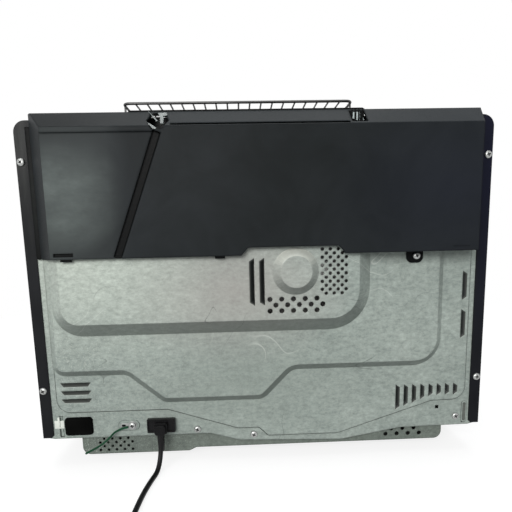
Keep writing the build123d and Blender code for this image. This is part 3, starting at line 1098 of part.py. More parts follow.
# Drip tray under the door
DRIP_HALF = PAN_HALF - 7
DRIP_Z0 = PAN_BOTTOM + 6.1
DRIP_BACK = PAN_FRONT - 4
with BuildPart() as drip_tray:
    bx(-DRIP_HALF, DRIP_HALF, DOOR_FACE + 6, DRIP_BACK, DRIP_Z0, PAN_TOP - 2)
    hollow_half = DRIP_HALF - 2
    bx(-hollow_half, hollow_half, DOOR_FACE + 10, DRIP_BACK - 2, DRIP_Z0 + 2, PAN_TOP - 1, Mode.SUBTRACT)
    bx(-DRIP_HALF - 4.5, DRIP_HALF + 4.5, DOOR_FACE, DOOR_FACE + 6, DRIP_Z0 - 4, PAN_TOP)
    bx(-60, 60, DOOR_FACE + 1.5, DOOR_FACE + 8, DRIP_Z0 - 5, DRIP_Z0 + 6, Mode.SUBTRACT)
    for side in (1, -1):
        bx(side * (DRIP_HALF - 1), side * (DRIP_HALF + 4.5), DOOR_FACE + 5, DRIP_BACK, DRIP_Z0, DRIP_Z0 + 2)
save("drip_tray", drip_tray.part)

# Wire rack: border, two carriers, four flared legs, and the cross wires that rest on the border
BORDER_R = 2.6
WIRE_R = 1.4
LEG_R = 2.1
LEG_SPREAD = 7.0
LEG_FOOT_Z = CABINET_TOP + LEG_R * math.cos(math.pi / SIDES) + 0.02
WIRE_Z = RACK_Z + (BORDER_R + WIRE_R) * math.cos(math.pi / SIDES)
with BuildPart() as wire_rack:
    border = [
        Vector(RACK_X0, RACK_Y0, RACK_Z),
        Vector(RACK_X1, RACK_Y0, RACK_Z),
        Vector(RACK_X1, RACK_Y1, RACK_Z),
        Vector(RACK_X0, RACK_Y1, RACK_Z),
    ]
    with BuildLine() as border_line:
        FilletPolyline(border, radius=18, close=True)
    start_edge = border_line.edges().sort_by(Axis.Y)[0]
    with BuildSketch(Plane(origin=start_edge @ 0, x_dir=(0, 0, 1), z_dir=start_edge % 0)):
        RegularPolygon(BORDER_R, SIDES, rotation=FLAT_TURN)
    sweep(path=border_line.wire())
    for carrier_y in (RACK_Y0 + 60, RACK_Y1 - 60):
        bx(RACK_X0, RACK_X1, carrier_y - 1.9, carrier_y + 1.9, RACK_Z - 1.4, RACK_Z + 2.4)
    for leg_x, out in ((RACK_X0 + 22, -LEG_SPREAD), (RACK_X1 - 22, LEG_SPREAD)):
        for leg_y in (RACK_Y0, RACK_Y1):
            with BuildLine() as leg_line:
                FilletPolyline(
                    Vector(leg_x - 9, leg_y, RACK_Z),
                    Vector(leg_x - 7 + out, leg_y, LEG_FOOT_Z),
                    Vector(leg_x + 7 + out, leg_y, LEG_FOOT_Z),
                    Vector(leg_x + 9, leg_y, RACK_Z),
                    radius=5,
                )
            with BuildSketch(Plane(origin=leg_line.wire() @ 0, x_dir=(0, 1, 0), z_dir=leg_line.wire() % 0)):
                RegularPolygon(LEG_R, SIDES, rotation=FLAT_TURN)
            sweep(path=leg_line.wire())
rack_solids = [wire_rack.part.solid()]
for wire in range(RACK_WIRES):
    wire_x = RACK_X0 + (RACK_X1 - RACK_X0) * (wire + 1) / (RACK_WIRES + 1)
    with BuildPart() as rack_wire:
        bar_y(wire_x, WIRE_Z, WIRE_R, RACK_Y0 - 1.5, RACK_Y1 + 1.5)
    rack_solids.append(rack_wire.part.solid())
save("wire_rack", Compound(children=rack_solids))

# Rear fittings
RELIEF_Z0 = 21.0
RELIEF_Z1 = 41.6
RELIEF_R = 4.3
CORD_BORE = CORD_D / 2 + 0.05
with BuildPart() as power_inlet:
    with BuildSketch(rear_plane(STRIP_P)):
        block = [
            (INLET_X + 15.7, INLET_Z1),
            (INLET_X + 15.7, INLET_Z0),
            (INLET_X - 15.7, INLET_Z0),
            (INLET_X - 15.7, INLET_Z1),
        ]
        add(rear_outline(block, [2, 2, 2, 2]))
    extrude(amount=15)
    rod_y(INLET_X, INLET_MID, NECK_R, at_p(-5), at_p(0))
    rod_z(INLET_X, at_p(INLET_P), CORD_BORE, RELIEF_Z1 - 1, 52, Mode.SUBTRACT)
    rod_z(INLET_X, at_p(INLET_P), RELIEF_R + 0.05, INLET_Z0 - 1, RELIEF_Z1, Mode.SUBTRACT)
save("power_inlet", power_inlet.part)

with BuildPart() as strain_relief:
    with BuildSketch(Plane.XY.offset(RELIEF_Z0)):
        with Locations((INLET_X, at_p(INLET_P))):
            RegularPolygon(RELIEF_R - 0.8, SIDES)
    with BuildSketch(Plane.XY.offset(RELIEF_Z1)):
        with Locations((INLET_X, at_p(INLET_P))):
            RegularPolygon(RELIEF_R, SIDES)
    loft()
    # bending slots, turn about on the two sides
    for slot in range(4):
        side = 1 if slot % 2 == 0 else -1
        slot_z = RELIEF_Z0 + 3 + 3.4 * slot
        bx(INLET_X + side * 3.0, INLET_X + side * 6, at_p(0), at_p(20), slot_z, slot_z + 1.4, Mode.SUBTRACT)
    rod_z(INLET_X, at_p(INLET_P), CORD_BORE, RELIEF_Z0 - 1, RELIEF_Z1 + 1, Mode.SUBTRACT)
save("strain_relief", strain_relief.part)

TERMINAL_T = 0.6
WASHER_T = 1.0
with BuildPart() as earth_terminal:
    with BuildSketch(rear_plane(STRIP_P)):
        with Locations((-EARTH_X - 3.5, EARTH_Z)):
            Rectangle(19, 12)
    extrude(amount=TERMINAL_T)
    bar_y(EARTH_X, EARTH_Z, 5.0, at_p(STRIP_P + TERMINAL_T), at_p(STRIP_P + TERMINAL_T + WASHER_T))
    bar_y(EARTH_X, EARTH_Z, SCREW_HOLE, at_p(-3), at_p(4), Mode.SUBTRACT)
save("earth_terminal", earth_terminal.part)

with BuildPart() as rubber_plug:
    with BuildSketch(rear_plane(STRIP_P)):
        plug = [(HALF - 25, 59.4), (HALF - 25, 38.1), (HALF - 56.3, 38.1), (HALF - 56.3, 59.4)]
        add(rear_outline(plug, [4, 4, 4, 4]))
    extrude(amount=3.0, taper=18)
save("rubber_plug", rubber_plug.part)

with BuildPart() as corner_clip:
    bx(HALF - 24.4, HALF - 14, at_p(STRIP_P), at_p(STRIP_P + 1.2), 47, 56)
    bx(HALF - 20, HALF - 18, at_p(STRIP_P), at_p(STRIP_P + 2.2), 49, 60)
save("corner_clip", corner_clip.part)

SCREW_BITE = 5.0
HEAD_H = 2.2
screw_seats = []
for screw_x, screw_z in FLANGE_SCREWS:
    screw_seats.append((screw_x, screw_z, 0))
for screw_x, screw_z in PANEL_SCREWS:
    screw_seats.append((screw_x, screw_z, STRIP_P))
screw_seats.append((TAB_X, TAB_Z, LOW_P + 2.6))
screw_seats.append((EARTH_X, EARTH_Z, STRIP_P + TERMINAL_T + WASHER_T))
with BuildPart() as screws:
    for screw_x, screw_z, seat_p in screw_seats:
        rod_y(screw_x, screw_z, HEAD_R, at_p(seat_p), at_p(seat_p + HEAD_H))
        bar_y(screw_x, screw_z, SCREW_HOLE - 0.1, at_p(seat_p - SCREW_BITE), at_p(seat_p))
save("screws", screws.part)


def fillet_radii(points):
    """Arc radius at each inner corner of a route, 0.45 of the shorter run over tan of half the turn."""
    radii = []
    for before, corner, after in zip(points, points[1:], points[2:]):
        run_in = corner - before
        run_out = after - corner
        turn = math.radians(run_in.get_angle(run_out))
        radii.append(0.45 * min(run_in.length, run_out.length) / math.tan(turn / 2))
    return radii


def check_tube(name, part, line, radius):
    """Print how the solid compares with its section times its length."""
    section = SIDES / 2 * radius ** 2 * math.sin(2 * math.pi / SIDES)
    ratio = part.volume / (section * line.length)
    print(name, "length", round(line.length, 1), "volume ratio", round(ratio, 4))


# Mains lead: a free stretch on the floor, a put-away coil and the plug
LEAD = [
    Vector(INLET_X, at_p(INLET_P), 46.0),
    Vector(INLET_X, at_p(INLET_P), CORD_Z),
    Vector(125.6, at_p(54), CORD_Z),
    Vector(128.4, at_p(98), CORD_Z),
    Vector(128.4, at_p(156), CORD_Z),
]
lead_radii = fillet_radii(LEAD)
print("mains lead radii", [round(value, 1) for value in lead_radii])
with BuildPart() as mains_cord:
    with BuildLine() as lead_line:
        FilletPolyline(LEAD, radius=lead_radii)
    with BuildSketch(Plane(origin=LEAD[0], x_dir=(1, 0, 0), z_dir=(0, 0, -1))):
        RegularPolygon(CORD_D / 2, SIDES)
    sweep(path=lead_line.line)
check_tube("mains lead", mains_cord.part, lead_line.wire(), CORD_D / 2)
save("mains_cord", mains_cord.part)

COIL_PITCH = CORD_D + 0.8
COIL_R = 5.5 * CORD_D
COIL_TURNS = 5
COIL_OUT = COIL_R + 1.2 * COIL_PITCH
COIL_IN = COIL_OUT - COIL_PITCH * (COIL_TURNS / 2 - 0.25)
COIL_X = LEAD[-1].X + COIL_OUT
COIL_Y = LEAD[-1].Y
COIL_TAIL = 45.0


def coil_point(turns):
    """Place on the coil after so many turns: inwards on the floor, up, then outwards on top."""
    half = COIL_TURNS / 2
    if turns <= half - 0.25:
        radius = COIL_OUT - COIL_PITCH * turns
        height = CORD_Z
    elif turns >= half:
        radius = COIL_IN + COIL_PITCH * (turns - half)
        height = CORD_Z + COIL_PITCH
    else:
        radius = COIL_IN
        climb = (turns - half + 0.25) / 0.25
        height = CORD_Z + COIL_PITCH * (1 - math.cos(math.pi * climb)) / 2
    angle = math.pi - 2 * math.pi * turns
    return Vector(COIL_X + radius * math.cos(angle), COIL_Y + radius * math.sin(angle), height)


def coil_tangent(turns):
    """Direction of the coil there."""
    if turns <= 0:
        return Vector(0, 1, 0)
    step = coil_point(turns + 0.01) - coil_point(turns - 0.01)
    return step.normalized()


def biarc(start, start_dir, end, end_dir):
    """Two tangent arcs between two places with given directions."""
    chord = end - start
    total = start_dir + end_dir
    lean = 2 * (1 - start_dir.dot(end_dir))
    along = chord.dot(total)
    reach = (-along + math.sqrt(along ** 2 + lean * chord.dot(chord))) / lean
    first_knee = start + start_dir * reach
    second_knee = end - end_dir * reach
    middle = (first_knee + second_knee) * 0.5
    TangentArc(start, middle, tangent=start_dir)
    TangentArc(middle, end, tangent=(second_knee - first_knee).normalized())


QUARTERS = 4 * COIL_TURNS
with BuildPart() as mains_coil:
    with BuildLine() as coil_line:
        for quarter in range(QUARTERS):
            here = quarter / 4
            there = here + 0.25
            biarc(coil_point(here), coil_tangent(here), coil_point(there), coil_tangent(there))
        coil_end = coil_point(QUARTERS / 4)
        coil_dir = coil_tangent(QUARTERS / 4)
        Line(coil_end, coil_end + coil_dir * COIL_TAIL)
    with BuildSketch(Plane(origin=coil_line.wire() @ 0, x_dir=(0, 0, 1), z_dir=coil_line.wire() % 0)):
        RegularPolygon(CORD_D / 2, SIDES)
    sweep(path=coil_line.wire())
check_tube("mains coil", mains_coil.part, coil_line.wire(), CORD_D / 2)
save("mains_coil", mains_coil.part)

SAMPLES = 900
samples = [coil_line.wire() @ (step / SAMPLES) for step in range(SAMPLES + 1)]
skip = int(3 * CORD_D / (coil_line.wire().length / SAMPLES)) + 1
least = COIL_OUT
for index, here in enumerate(samples):
    for other in samples[index + skip:]:
        least = min(least, (other - here).length)
print("coil least gap to itself", round(least - CORD_D, 2))

PLUG_L = 30.0
BOOT_L = 14.0
plug_start = coil_end + coil_dir * COIL_TAIL
with BuildPart() as mains_plug:
    with BuildSketch(Plane(origin=plug_start, x_dir=(0, 0, 1), z_dir=coil_dir)):
        RectangleRounded(13, 18, 4)
    extrude(amount=PLUG_L)
    with BuildSketch(Plane(origin=plug_start - coil_dir * BOOT_L, x_dir=(0, 0, 1), z_dir=coil_dir)):
        RegularPolygon(4.8, SIDES)
    extrude(amount=BOOT_L)
    with BuildSketch(Plane(origin=plug_start + coil_dir * PLUG_L, x_dir=(0, 0, 1), z_dir=coil_dir)):
        with Locations((0, 6.35), (0, -6.35)):
            Rectangle(6.3, 1.5)
    extrude(amount=17)
    with BuildSketch(Plane(origin=plug_start - coil_dir * (BOOT_L + 1), x_dir=(0, 0, 1), z_dir=coil_dir)):
        Circle(CORD_D / 2 + 0.02)
    extrude(amount=BOOT_L + 1.02, mode=Mode.SUBTRACT)
save("mains_plug", mains_plug.part)
print("mains lead in all", round(lead_line.wire().length + coil_line.wire().length, 0))

# Earth wire: a short stiff end that hangs from its screw
EARTH_D = 2.2
EARTH = [
    Vector(EARTH_X + 4.9, at_p(STRIP_P + 1.75), EARTH_Z - 1.5),
    Vector(EARTH_X + 17, at_p(2.6), 44.6),
    Vector(EARTH_X + 27.1, at_p(6), 34.0),
    Vector(EARTH_X + 36.6, at_p(12), 28.2),
    Vector(EARTH_X + 47, at_p(22), 26.4),
]
earth_radii = fillet_radii(EARTH)
print("earth wire radii", [round(value, 1) for value in earth_radii])
with BuildPart() as earth_wire:
    with BuildLine() as earth_line:
        FilletPolyline(EARTH, radius=earth_radii)
    with BuildSketch(Plane(origin=EARTH[0], z_dir=earth_line.line % 0)):
        RegularPolygon(EARTH_D / 2, SIDES)
    sweep(path=earth_line.line)
check_tube("earth wire", earth_wire.part, earth_line.wire(), EARTH_D / 2)
save("earth_wire", earth_wire.part)
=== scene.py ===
import json
import math

import bmesh
import bpy
from mathutils import Matrix, Vector


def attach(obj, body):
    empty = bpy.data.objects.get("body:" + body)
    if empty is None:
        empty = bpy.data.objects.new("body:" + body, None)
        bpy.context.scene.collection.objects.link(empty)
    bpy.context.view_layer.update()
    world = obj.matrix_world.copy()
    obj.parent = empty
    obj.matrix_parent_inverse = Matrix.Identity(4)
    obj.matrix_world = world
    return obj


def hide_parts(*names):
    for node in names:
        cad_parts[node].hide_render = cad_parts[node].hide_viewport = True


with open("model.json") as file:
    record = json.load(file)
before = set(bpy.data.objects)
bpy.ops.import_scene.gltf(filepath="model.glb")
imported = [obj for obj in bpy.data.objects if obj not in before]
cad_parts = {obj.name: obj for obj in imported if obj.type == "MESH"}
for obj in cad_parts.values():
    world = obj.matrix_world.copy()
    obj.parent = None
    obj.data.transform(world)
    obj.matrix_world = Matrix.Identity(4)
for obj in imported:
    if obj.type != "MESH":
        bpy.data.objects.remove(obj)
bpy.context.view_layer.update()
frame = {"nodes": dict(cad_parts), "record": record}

# The photograph looks at the back of the oven from half a metre away, at the middle of its height.
REAR = 0.1885
CAMERA_AT = Vector((0.0237, REAR + 0.4894, 0.2542))
CAMERA_RIGHT = Vector((-0.99899, 0.038789, -0.022668))
CAMERA_UP = Vector((-0.028254, -0.150121, 0.988264))
LENS = 31.64
SHIFT_Y = 0.0996


def at_p(p):
    """Y in metres of a place p millimetres outwards from the rear flange face."""
    return REAR + p / 1000


def rear_point(x, p, z):
    """A point by its X, its p beyond the rear flange face and its height, in millimetres."""
    return Vector((x / 1000, at_p(p), z / 1000))


def add_object(name, data):
    """New object in the scene's own collection."""
    obj = bpy.data.objects.new(name, data)
    bpy.context.scene.collection.objects.link(obj)
    return obj


def mesh_from(name, form):
    """Mesh of a bmesh, which is freed."""
    data = bpy.data.meshes.new(name)
    form.to_mesh(data)
    form.free()
    return data


# Node helpers for the materials
class Shader:
    """A material with a principled shader and short calls for the nodes that feed it."""

    def __init__(self, name, colour=(0.5, 0.5, 0.5), roughness=0.5, metallic=0.0):
        self.material = bpy.data.materials.new(name)
        self.material.use_nodes = True
        self.nodes = self.material.node_tree.nodes
        self.links = self.material.node_tree.links
        self.bsdf = self.nodes["Principled BSDF"]
        self.bsdf.inputs["Base Color"].default_value = (*colour, 1)
        self.bsdf.inputs["Roughness"].default_value = roughness
        self.bsdf.inputs["Metallic"].default_value = metallic
        self.coords = self.nodes.new("ShaderNodeTexCoord").outputs["Object"]
        self.edge = 0.0

    def set(self, socket, value):
        self.bsdf.inputs[socket].default_value = value
        return self

    def feed(self, socket, output):
        self.links.new(output, self.bsdf.inputs[socket])
        return self

    def stretched(self, scale):
        node = self.nodes.new("ShaderNodeMapping")
        node.inputs["Scale"].default_value = scale
        self.links.new(self.coords, node.inputs["Vector"])
        return node.outputs["Vector"]

    def noise(self, scale, detail=3.0, rough=0.55, coords=None, distortion=0.0):
        node = self.nodes.new("ShaderNodeTexNoise")
        node.inputs["Scale"].default_value = scale
        node.inputs["Detail"].default_value = detail
        node.inputs["Roughness"].default_value = rough
        node.inputs["Distortion"].default_value = distortion
        self.links.new(coords or self.coords, node.inputs["Vector"])
        return node.outputs["Fac"]

    def cells(self, scale, output="Color"):
        node = self.nodes.new("ShaderNodeTexVoronoi")
        node.inputs["Scale"].default_value = scale
        self.links.new(self.coords, node.inputs["Vector"])
        return node.outputs[output]

    def ramp(self, value, stops):
        node = self.nodes.new("ShaderNodeValToRGB")
        ramp = node.color_ramp
        ramp.elements[0].position = stops[0][0]
        ramp.elements[0].color = (*stops[0][1], 1)
        ramp.elements[1].position = stops[-1][0]
        ramp.elements[1].color = (*stops[-1][1], 1)
        for place, colour in stops[1:-1]:
            ramp.elements.new(place).color = (*colour, 1)
        self.links.new(value, node.inputs["Fac"])
        return node.outputs["Color"]

    def spread(self, value, low, high, from_low=0.0, from_high=1.0):
        node = self.nodes.new("ShaderNodeMapRange")
        node.inputs["From Min"].default_value = from_low
        node.inputs["From Max"].default_value = from_high
        node.inputs["To Min"].default_value = low
        node.inputs["To Max"].default_value = high
        self.links.new(value, node.inputs["Value"])
        return node.outputs["Result"]

    def mix(self, factor, first, second, kind="MIX"):
        node = self.nodes.new("ShaderNodeMix")
        node.data_type = "RGBA"
        node.blend_type = kind
        for socket, value in (("Factor", factor), ("A", first), ("B", second)):
            spot = [s for s in node.inputs if s.name == socket and s.enabled][0]
            if isinstance(value, (int, float)):
                spot.default_value = value
            elif isinstance(value, tuple):
                spot.default_value = (*value, 1)
            else:
                self.links.new(value, spot)
        return [s for s in node.outputs if s.enabled][0]

    def maths(self, kind, first, second):
        node = self.nodes.new("ShaderNodeMath")
        node.operation = kind
        for socket, value in zip(node.inputs, (first, second)):
            if isinstance(value, (int, float)):
                socket.default_value = value
            else:
                self.links.new(value, socket)
        return node.outputs[0]

    def times(self, first, *others):
        """Product of masks and numbers."""
        for other in others:
            first = self.maths("MULTIPLY", first, other)
        return first

    def facing(self, kind="Normal"):
        """X, Y and Z of the surface's normal."""
        aspect = self.nodes.new("ShaderNodeNewGeometry")
        node = self.nodes.new("ShaderNodeSeparateXYZ")
        self.links.new(aspect.outputs[kind], node.inputs[0])
        return node.outputs

    def along(self, name, start, end):
        """0 at the start and 1 at the end of a stretch of an axis, in metres; it can run downwards."""
        if start < end:
            return self.spread(self.axis(name), 0.0, 1.0, start, end)
        return self.spread(self.axis(name), 1.0, 0.0, end, start)

    def sunk(self, none, full):
        """0 at one p and 1 at a lower one, which lies deeper in the oven, in millimetres."""
        return self.along("Y", at_p(none), at_p(full))

    def axis(self, name):
        node = self.nodes.new("ShaderNodeSeparateXYZ")
        self.links.new(self.coords, node.inputs[0])
        return node.outputs[name]

    def patch(self, centre, reach):
        """1 at a place and 0 from a distance on, all in metres; the reach can differ per axis."""
        place = self.nodes.new("ShaderNodeMapping")
        place.vector_type = "TEXTURE"
        place.inputs["Location"].default_value = centre
        place.inputs["Scale"].default_value = reach
        self.links.new(self.coords, place.inputs["Vector"])
        node = self.nodes.new("ShaderNodeTexGradient")
        node.gradient_type = "SPHERICAL"
        self.links.new(place.outputs["Vector"], node.inputs["Vector"])
        return node.outputs["Fac"]

    def window(self, x0, x1, z0, z1):
        """1 inside a rectangle of the XZ plane given in millimetres, 0 outside."""
        soft = 0.2
        sides = []
        for name, low, high in (("X", x0, x1), ("Z", z0, z1)):
            sides.append(self.along(name, (low - soft) / 1000, (low + soft) / 1000))
            sides.append(self.along(name, (high + soft) / 1000, (high - soft) / 1000))
        return self.times(*sides)

    def bump(self, height, strength=0.2, distance=0.001):
        node = self.nodes.new("ShaderNodeBump")
        node.inputs["Strength"].default_value = strength
        node.inputs["Distance"].default_value = distance
        if self.edge:
            soft = self.nodes.new("ShaderNodeBevel")
            soft.samples = 6
            soft.inputs["Radius"].default_value = self.edge
            self.links.new(soft.outputs["Normal"], node.inputs["Normal"])
        self.links.new(height, node.inputs["Height"])
        self.links.new(node.outputs["Normal"], self.bsdf.inputs["Normal"])
        return self


# Louvres that lie in shade: X range, Z range and p of the sheet around them in millimetres, share of shade
LOUVRES = [
    (190, 228, 73, 101, 0.35, 0.45),
    (-233, -147, 52, 88, 0.35, 0.85),
    (-233, -219, 130, 218, 0.35, 0.85),
    (-5, 16, 180, 237, 22.35, 0.9),
]


def galvanised(name, dark, light, louvres=()):
    """Zinc-coated sheet: spangle, specks, a warm patch and a painted highlight, scuffs, painted shade below,
    on faces turned down and deep in the louvres, painted light on faces turned up.
    """
    s = Shader(name, light, 0.46, 0.08)
    s.set("Specular IOR Level", 0.25)
    s.edge = 0.0022
    cloud = s.noise(7.0, 5.0, 0.62, None, 0.4)
    fine = s.noise(150.0, 6.0, 0.78, s.stretched((1.0, 1.0, 1.9)))
    middle = s.noise(42.0, 4.0, 0.65, None, 0.8)
    base = s.ramp(cloud, [(0.3, dark), (0.68, light)])
    # three sizes of grain over the broad clouds
    spangle = s.ramp(s.spread(s.cells(300.0), 0.0, 1.0), [(0.0, (0.30,) * 3), (1.0, (0.72,) * 3)])
    speckle = s.ramp(fine, [(0.32, (0.24, 0.25, 0.24)), (0.68, (0.76, 0.76, 0.74))])
    mottle = s.ramp(middle, [(0.3, (0.40, 0.41, 0.40)), (0.7, (0.60, 0.60, 0.59))])
    for share, grain in ((0.22, spangle), (0.5, speckle), (0.3, mottle)):
        base = s.mix(share, base, grain, "OVERLAY")
    # a warm patch in the middle, a painted highlight on the upper left, painted shade below
    warm = s.times(s.patch((0.03, 0.2, 0.2), (0.13, 0.2, 0.09)), 0.6)
    base = s.mix(warm, base, (0.41, 0.37, 0.35))
    pale = s.times(s.patch((0.19, 0.2, 0.24), (0.15, 0.2, 0.13)), 0.7)
    highlight_sheet = s.mix(s.spread(fine, 0.0, 1.0, 0.35, 0.65), (0.46, 0.51, 0.45), (0.72, 0.78, 0.70))
    base = s.mix(pale, base, highlight_sheet)
    shade = s.times(s.patch((0.02, 0.2, 0.1), (0.17, 0.2, 0.075)), 0.55)
    base = s.mix(shade, base, (0.23, 0.27, 0.245))
    # frosty specks, most of them towards the left edge
    near_edge = s.spread(s.axis("X"), 0.15, 0.8, 0.05, 0.23)
    frost = s.times(s.spread(s.noise(900.0, 2.0, 0.6), 0.0, 1.0, 0.60, 0.68), near_edge)
    base = s.mix(frost, base, (0.60, 0.65, 0.59))
    # pale and dark curved scuffs, thin and far apart
    bend = s.noise(13.0, 0.0, 0.5, None, 1.6)
    pale_where = s.spread(s.noise(11.0, 1.0), 0.0, 0.55, 0.60, 0.64)
    dark_where = s.spread(s.noise(15.0, 1.0), 0.5, 0.0, 0.36, 0.42)
    scuffs = (
        (0.52, 0.006, pale_where, (0.66, 0.70, 0.65)),
        (0.43, 0.005, dark_where, (0.10, 0.11, 0.10)),
    )
    for level, width, where, colour in scuffs:
        away = s.maths("ABSOLUTE", s.maths("SUBTRACT", bend, level), 0.0)
        base = s.mix(s.times(s.spread(away, 1.0, 0.0, 0.001, width), where), base, colour)
    # painted shade on faces turned down and on the joggle around the field, painted light on faces turned up
    facing = s.facing("True Normal")
    down = s.spread(facing["Z"], 0.5, 0.0, -0.5, -0.15)
    base = s.mix(down, base, (0.08, 0.095, 0.088))
    up = s.spread(facing["Z"], 0.0, 0.5, 0.15, 0.5)
    base = s.mix(up, base, (0.80, 0.82, 0.74))
    tilted = s.spread(facing["Y"], 1.0, 0.0, 0.985, 0.995)
    base = s.mix(s.times(tilted, s.sunk(0.48, 0.3), 0.88), base, (0.03, 0.036, 0.033))
    # painted shade deep in the louvres
    for x0, x1, z0, z1, top, amount in louvres:
        hollow = s.times(s.window(x0, x1, z0, z1), tilted)
        base = s.mix(s.times(hollow, s.sunk(top, top - 0.15), amount), base, (0.075, 0.08, 0.075))
        base = s.mix(s.times(hollow, s.sunk(top - 0.5, top - 1.5), amount), base, (0.010, 0.012, 0.012))
    s.feed("Base Color", base)
    s.feed("Roughness", s.spread(fine, 0.36, 0.58, 0.3, 0.7))
    return s.bump(s.maths("ADD", fine, s.times(cloud, 2.0)), 0.14, 0.0004).material


def rear_moulding(name):
    """Black moulded cover: satin grain, a painted grey sheen on the low face beside the groove, a painted
    bluish highlight towards the top, painted light and shade on faces turned up.
    """
    s = Shader(name, (0.014, 0.015, 0.016), 0.42)
    s.set("Specular IOR Level", 0.06)
    s.edge = 0.0028
    grain = s.noise(1100.0, 3.0, 0.6)
    cloud = s.noise(11.0, 4.0, 0.6, None, 0.6)
    base = s.ramp(cloud, [(0.35, (0.013, 0.0155, 0.0165)), (0.7, (0.022, 0.0255, 0.028))])
    # painted sheen, a highlight, on the low face, strongest in the middle of its height
    facing = s.facing()
    flat = s.spread(facing["Y"], 0.0, 1.0, 0.86, 0.97)
    side = s.along("X", 0.128, 0.150)
    streak = s.spread(s.noise(12.0, 5.0, 0.6, s.stretched((1.0, 1.0, 2.0))), 0.35, 1.25, 0.3, 0.7)
    glow = s.times(side, s.patch((0.207, 0.21, 0.302), (0.075, 0.3, 0.07)), 1.3, streak)
    below_crease = s.spread(s.axis("Z"), 1.0, 0.15, 0.330, 0.357)
    sheen_breakup = s.spread(s.noise(31.0, 4.0, 0.6, s.stretched((1.0, 1.0, 1.7))), 0.72, 1.0, 0.4, 0.6)
    glow = s.times(flat, s.maths("MINIMUM", glow, 1.0), below_crease, sheen_breakup)
    base = s.mix(glow, base, (0.135, 0.158, 0.152))
    # a faint painted highlight on the low face, growing away from the groove
    far = s.times(side, s.spread(s.axis("X"), 0.35, 1.0, 0.13, 0.17))
    base = s.mix(s.times(flat, far, 0.09), base, (0.25, 0.28, 0.275))
    # painted bluish highlight towards the top
    bluish_highlight = s.times(s.patch((-0.2, 0.21, 0.30), (0.14, 0.3, 0.1)), 0.6)
    base = s.mix(bluish_highlight, base, (0.020, 0.023, 0.034))
    # painted highlight on what looks up, less of it towards the left end
    top_highlight = s.times(
        s.spread(facing["Z"], 0.0, 0.4, 0.2, 0.8),
        s.spread(s.noise(34.0, 4.0), 0.7, 1.0, 0.3, 0.7),
        s.spread(s.axis("X"), 1.0, 0.2, 0.05, 0.2),
    )
    base = s.mix(top_highlight, base, (0.026, 0.033, 0.037))
    # painted shade on what looks up, stronger towards the left end
    top_shade = s.times(s.spread(facing["Z"], 0.0, 0.75, 0.2, 0.6), s.along("X", 0.08, 0.19))
    base = s.mix(top_shade, base, (0.004, 0.006, 0.0065))
    # the drain groove and the hook slots lie in shade
    base = s.mix(s.times(flat, s.sunk(28.5, 28.3), 0.9), base, (0.002,) * 3)
    s.feed("Base Color", base)
    s.feed("Roughness", s.spread(grain, 0.36, 0.52, 0.3, 0.7))
    return s.bump(grain, 0.22, 0.0002).material


def painted(name, colour, roughness=0.38, peel=420.0):
    """Baked paint on sheet steel, with slight orange peel, dust-worn patches and two tinted rear flanges."""
    s = Shader(name, colour, roughness)
    s.set("Specular IOR Level", 0.08)
    s.edge = 0.0008
    skin = s.noise(peel, 2.0)
    wear = s.noise(14.0, 4.0)
    lighter = tuple(min(1.0, c * 1.6 + 0.003) for c in colour)
    base = s.ramp(wear, [(0.35, colour), (0.75, lighter)])
    # a greyer, streaky left flange and a bluish right one, both stronger towards the top
    flange_streaks = s.noise(26.0, 5.0, 0.6, s.stretched((4.0, 1.0, 0.6)))
    rear = s.along("Y", at_p(-9), at_p(-2))
    left = s.times(s.along("X", 0.236, 0.242), s.spread(s.axis("Z"), 0.1, 1.0, 0.22, 0.33))
    left = s.times(left, s.spread(flange_streaks, 0.2, 1.0, 0.35, 0.65), rear)
    base = s.mix(left, base, (0.036, 0.038, 0.037))
    right = s.times(s.along("X", -0.236, -0.242), s.spread(s.axis("Z"), 0.1, 0.8, 0.12, 0.3), rear)
    base = s.mix(right, base, (0.006, 0.007, 0.020))
    s.feed("Base Color", base)
    s.feed("Roughness", s.spread(wear, roughness - 0.06, roughness + 0.12, 0.3, 0.75))
    return s.bump(skin, 0.12, 0.0003).material


def moulded(name, colour, roughness=0.45, grain=900.0, depth=0.25, shine=0.35):
    """Injection-moulded plastic with a fine spark-eroded grain."""
    s = Shader(name, colour, roughness)
    s.set("Specular IOR Level", shine)
    fine = s.noise(grain, 3.0, 0.6)
    cloud = s.noise(20.0, 3.0)
    lighter = tuple(min(1.0, c * 1.5 + 0.004) for c in colour)
    s.feed("Base Color", s.ramp(cloud, [(0.35, colour), (0.7, lighter)]))
    s.feed("Roughness", s.spread(fine, roughness - 0.07, roughness + 0.09, 0.3, 0.7))
    return s.bump(fine, depth, 0.0002).material


def bright_metal(name, colour, roughness=0.2, streak=(1.0, 1.0, 1.0), amount=0.12):
    """Plated or brushed metal, with streaks along the axis that has the smallest scale."""
    s = Shader(name, colour, roughness, 1.0)
    lines = s.noise(300.0, 3.0, 0.6, s.stretched(streak))
    dull = s.noise(22.0, 4.0)
    darker = tuple(c * 0.72 for c in colour)
    s.feed("Base Color", s.mix(s.spread(dull, 0.0, 0.6, 0.4, 0.75), colour, darker))
    s.feed("Roughness", s.spread(lines, roughness, roughness + amount, 0.3, 0.7))
    return s.bump(lines, 0.08, 0.0002).material


def enamel(name, colour, speckle=(0.3, 0.3, 0.3), roughness=0.22):
    """Fired enamel with tiny specks."""
    s = Shader(name, colour, roughness)
    dots = s.ramp(s.cells(900.0, "Distance"), [(0.0, speckle), (0.22, colour)])
    s.feed("Base Color", dots)
    s.feed("Roughness", s.spread(s.noise(30.0), roughness - 0.05, roughness + 0.1))
    return s.bump(s.noise(120.0), 0.08, 0.0004).material


def glassy(name, colour, roughness=0.05, alpha=0.35):
    """A pane or clear moulding that stays see-through."""
    s = Shader(name, colour, roughness)
    s.set("Alpha", alpha)
    s.set("IOR", 1.5)
    s.feed("Roughness", s.spread(s.noise(35.0), roughness, roughness + 0.06))
    return s.bump(s.noise(60.0), 0.03, 0.0003).material


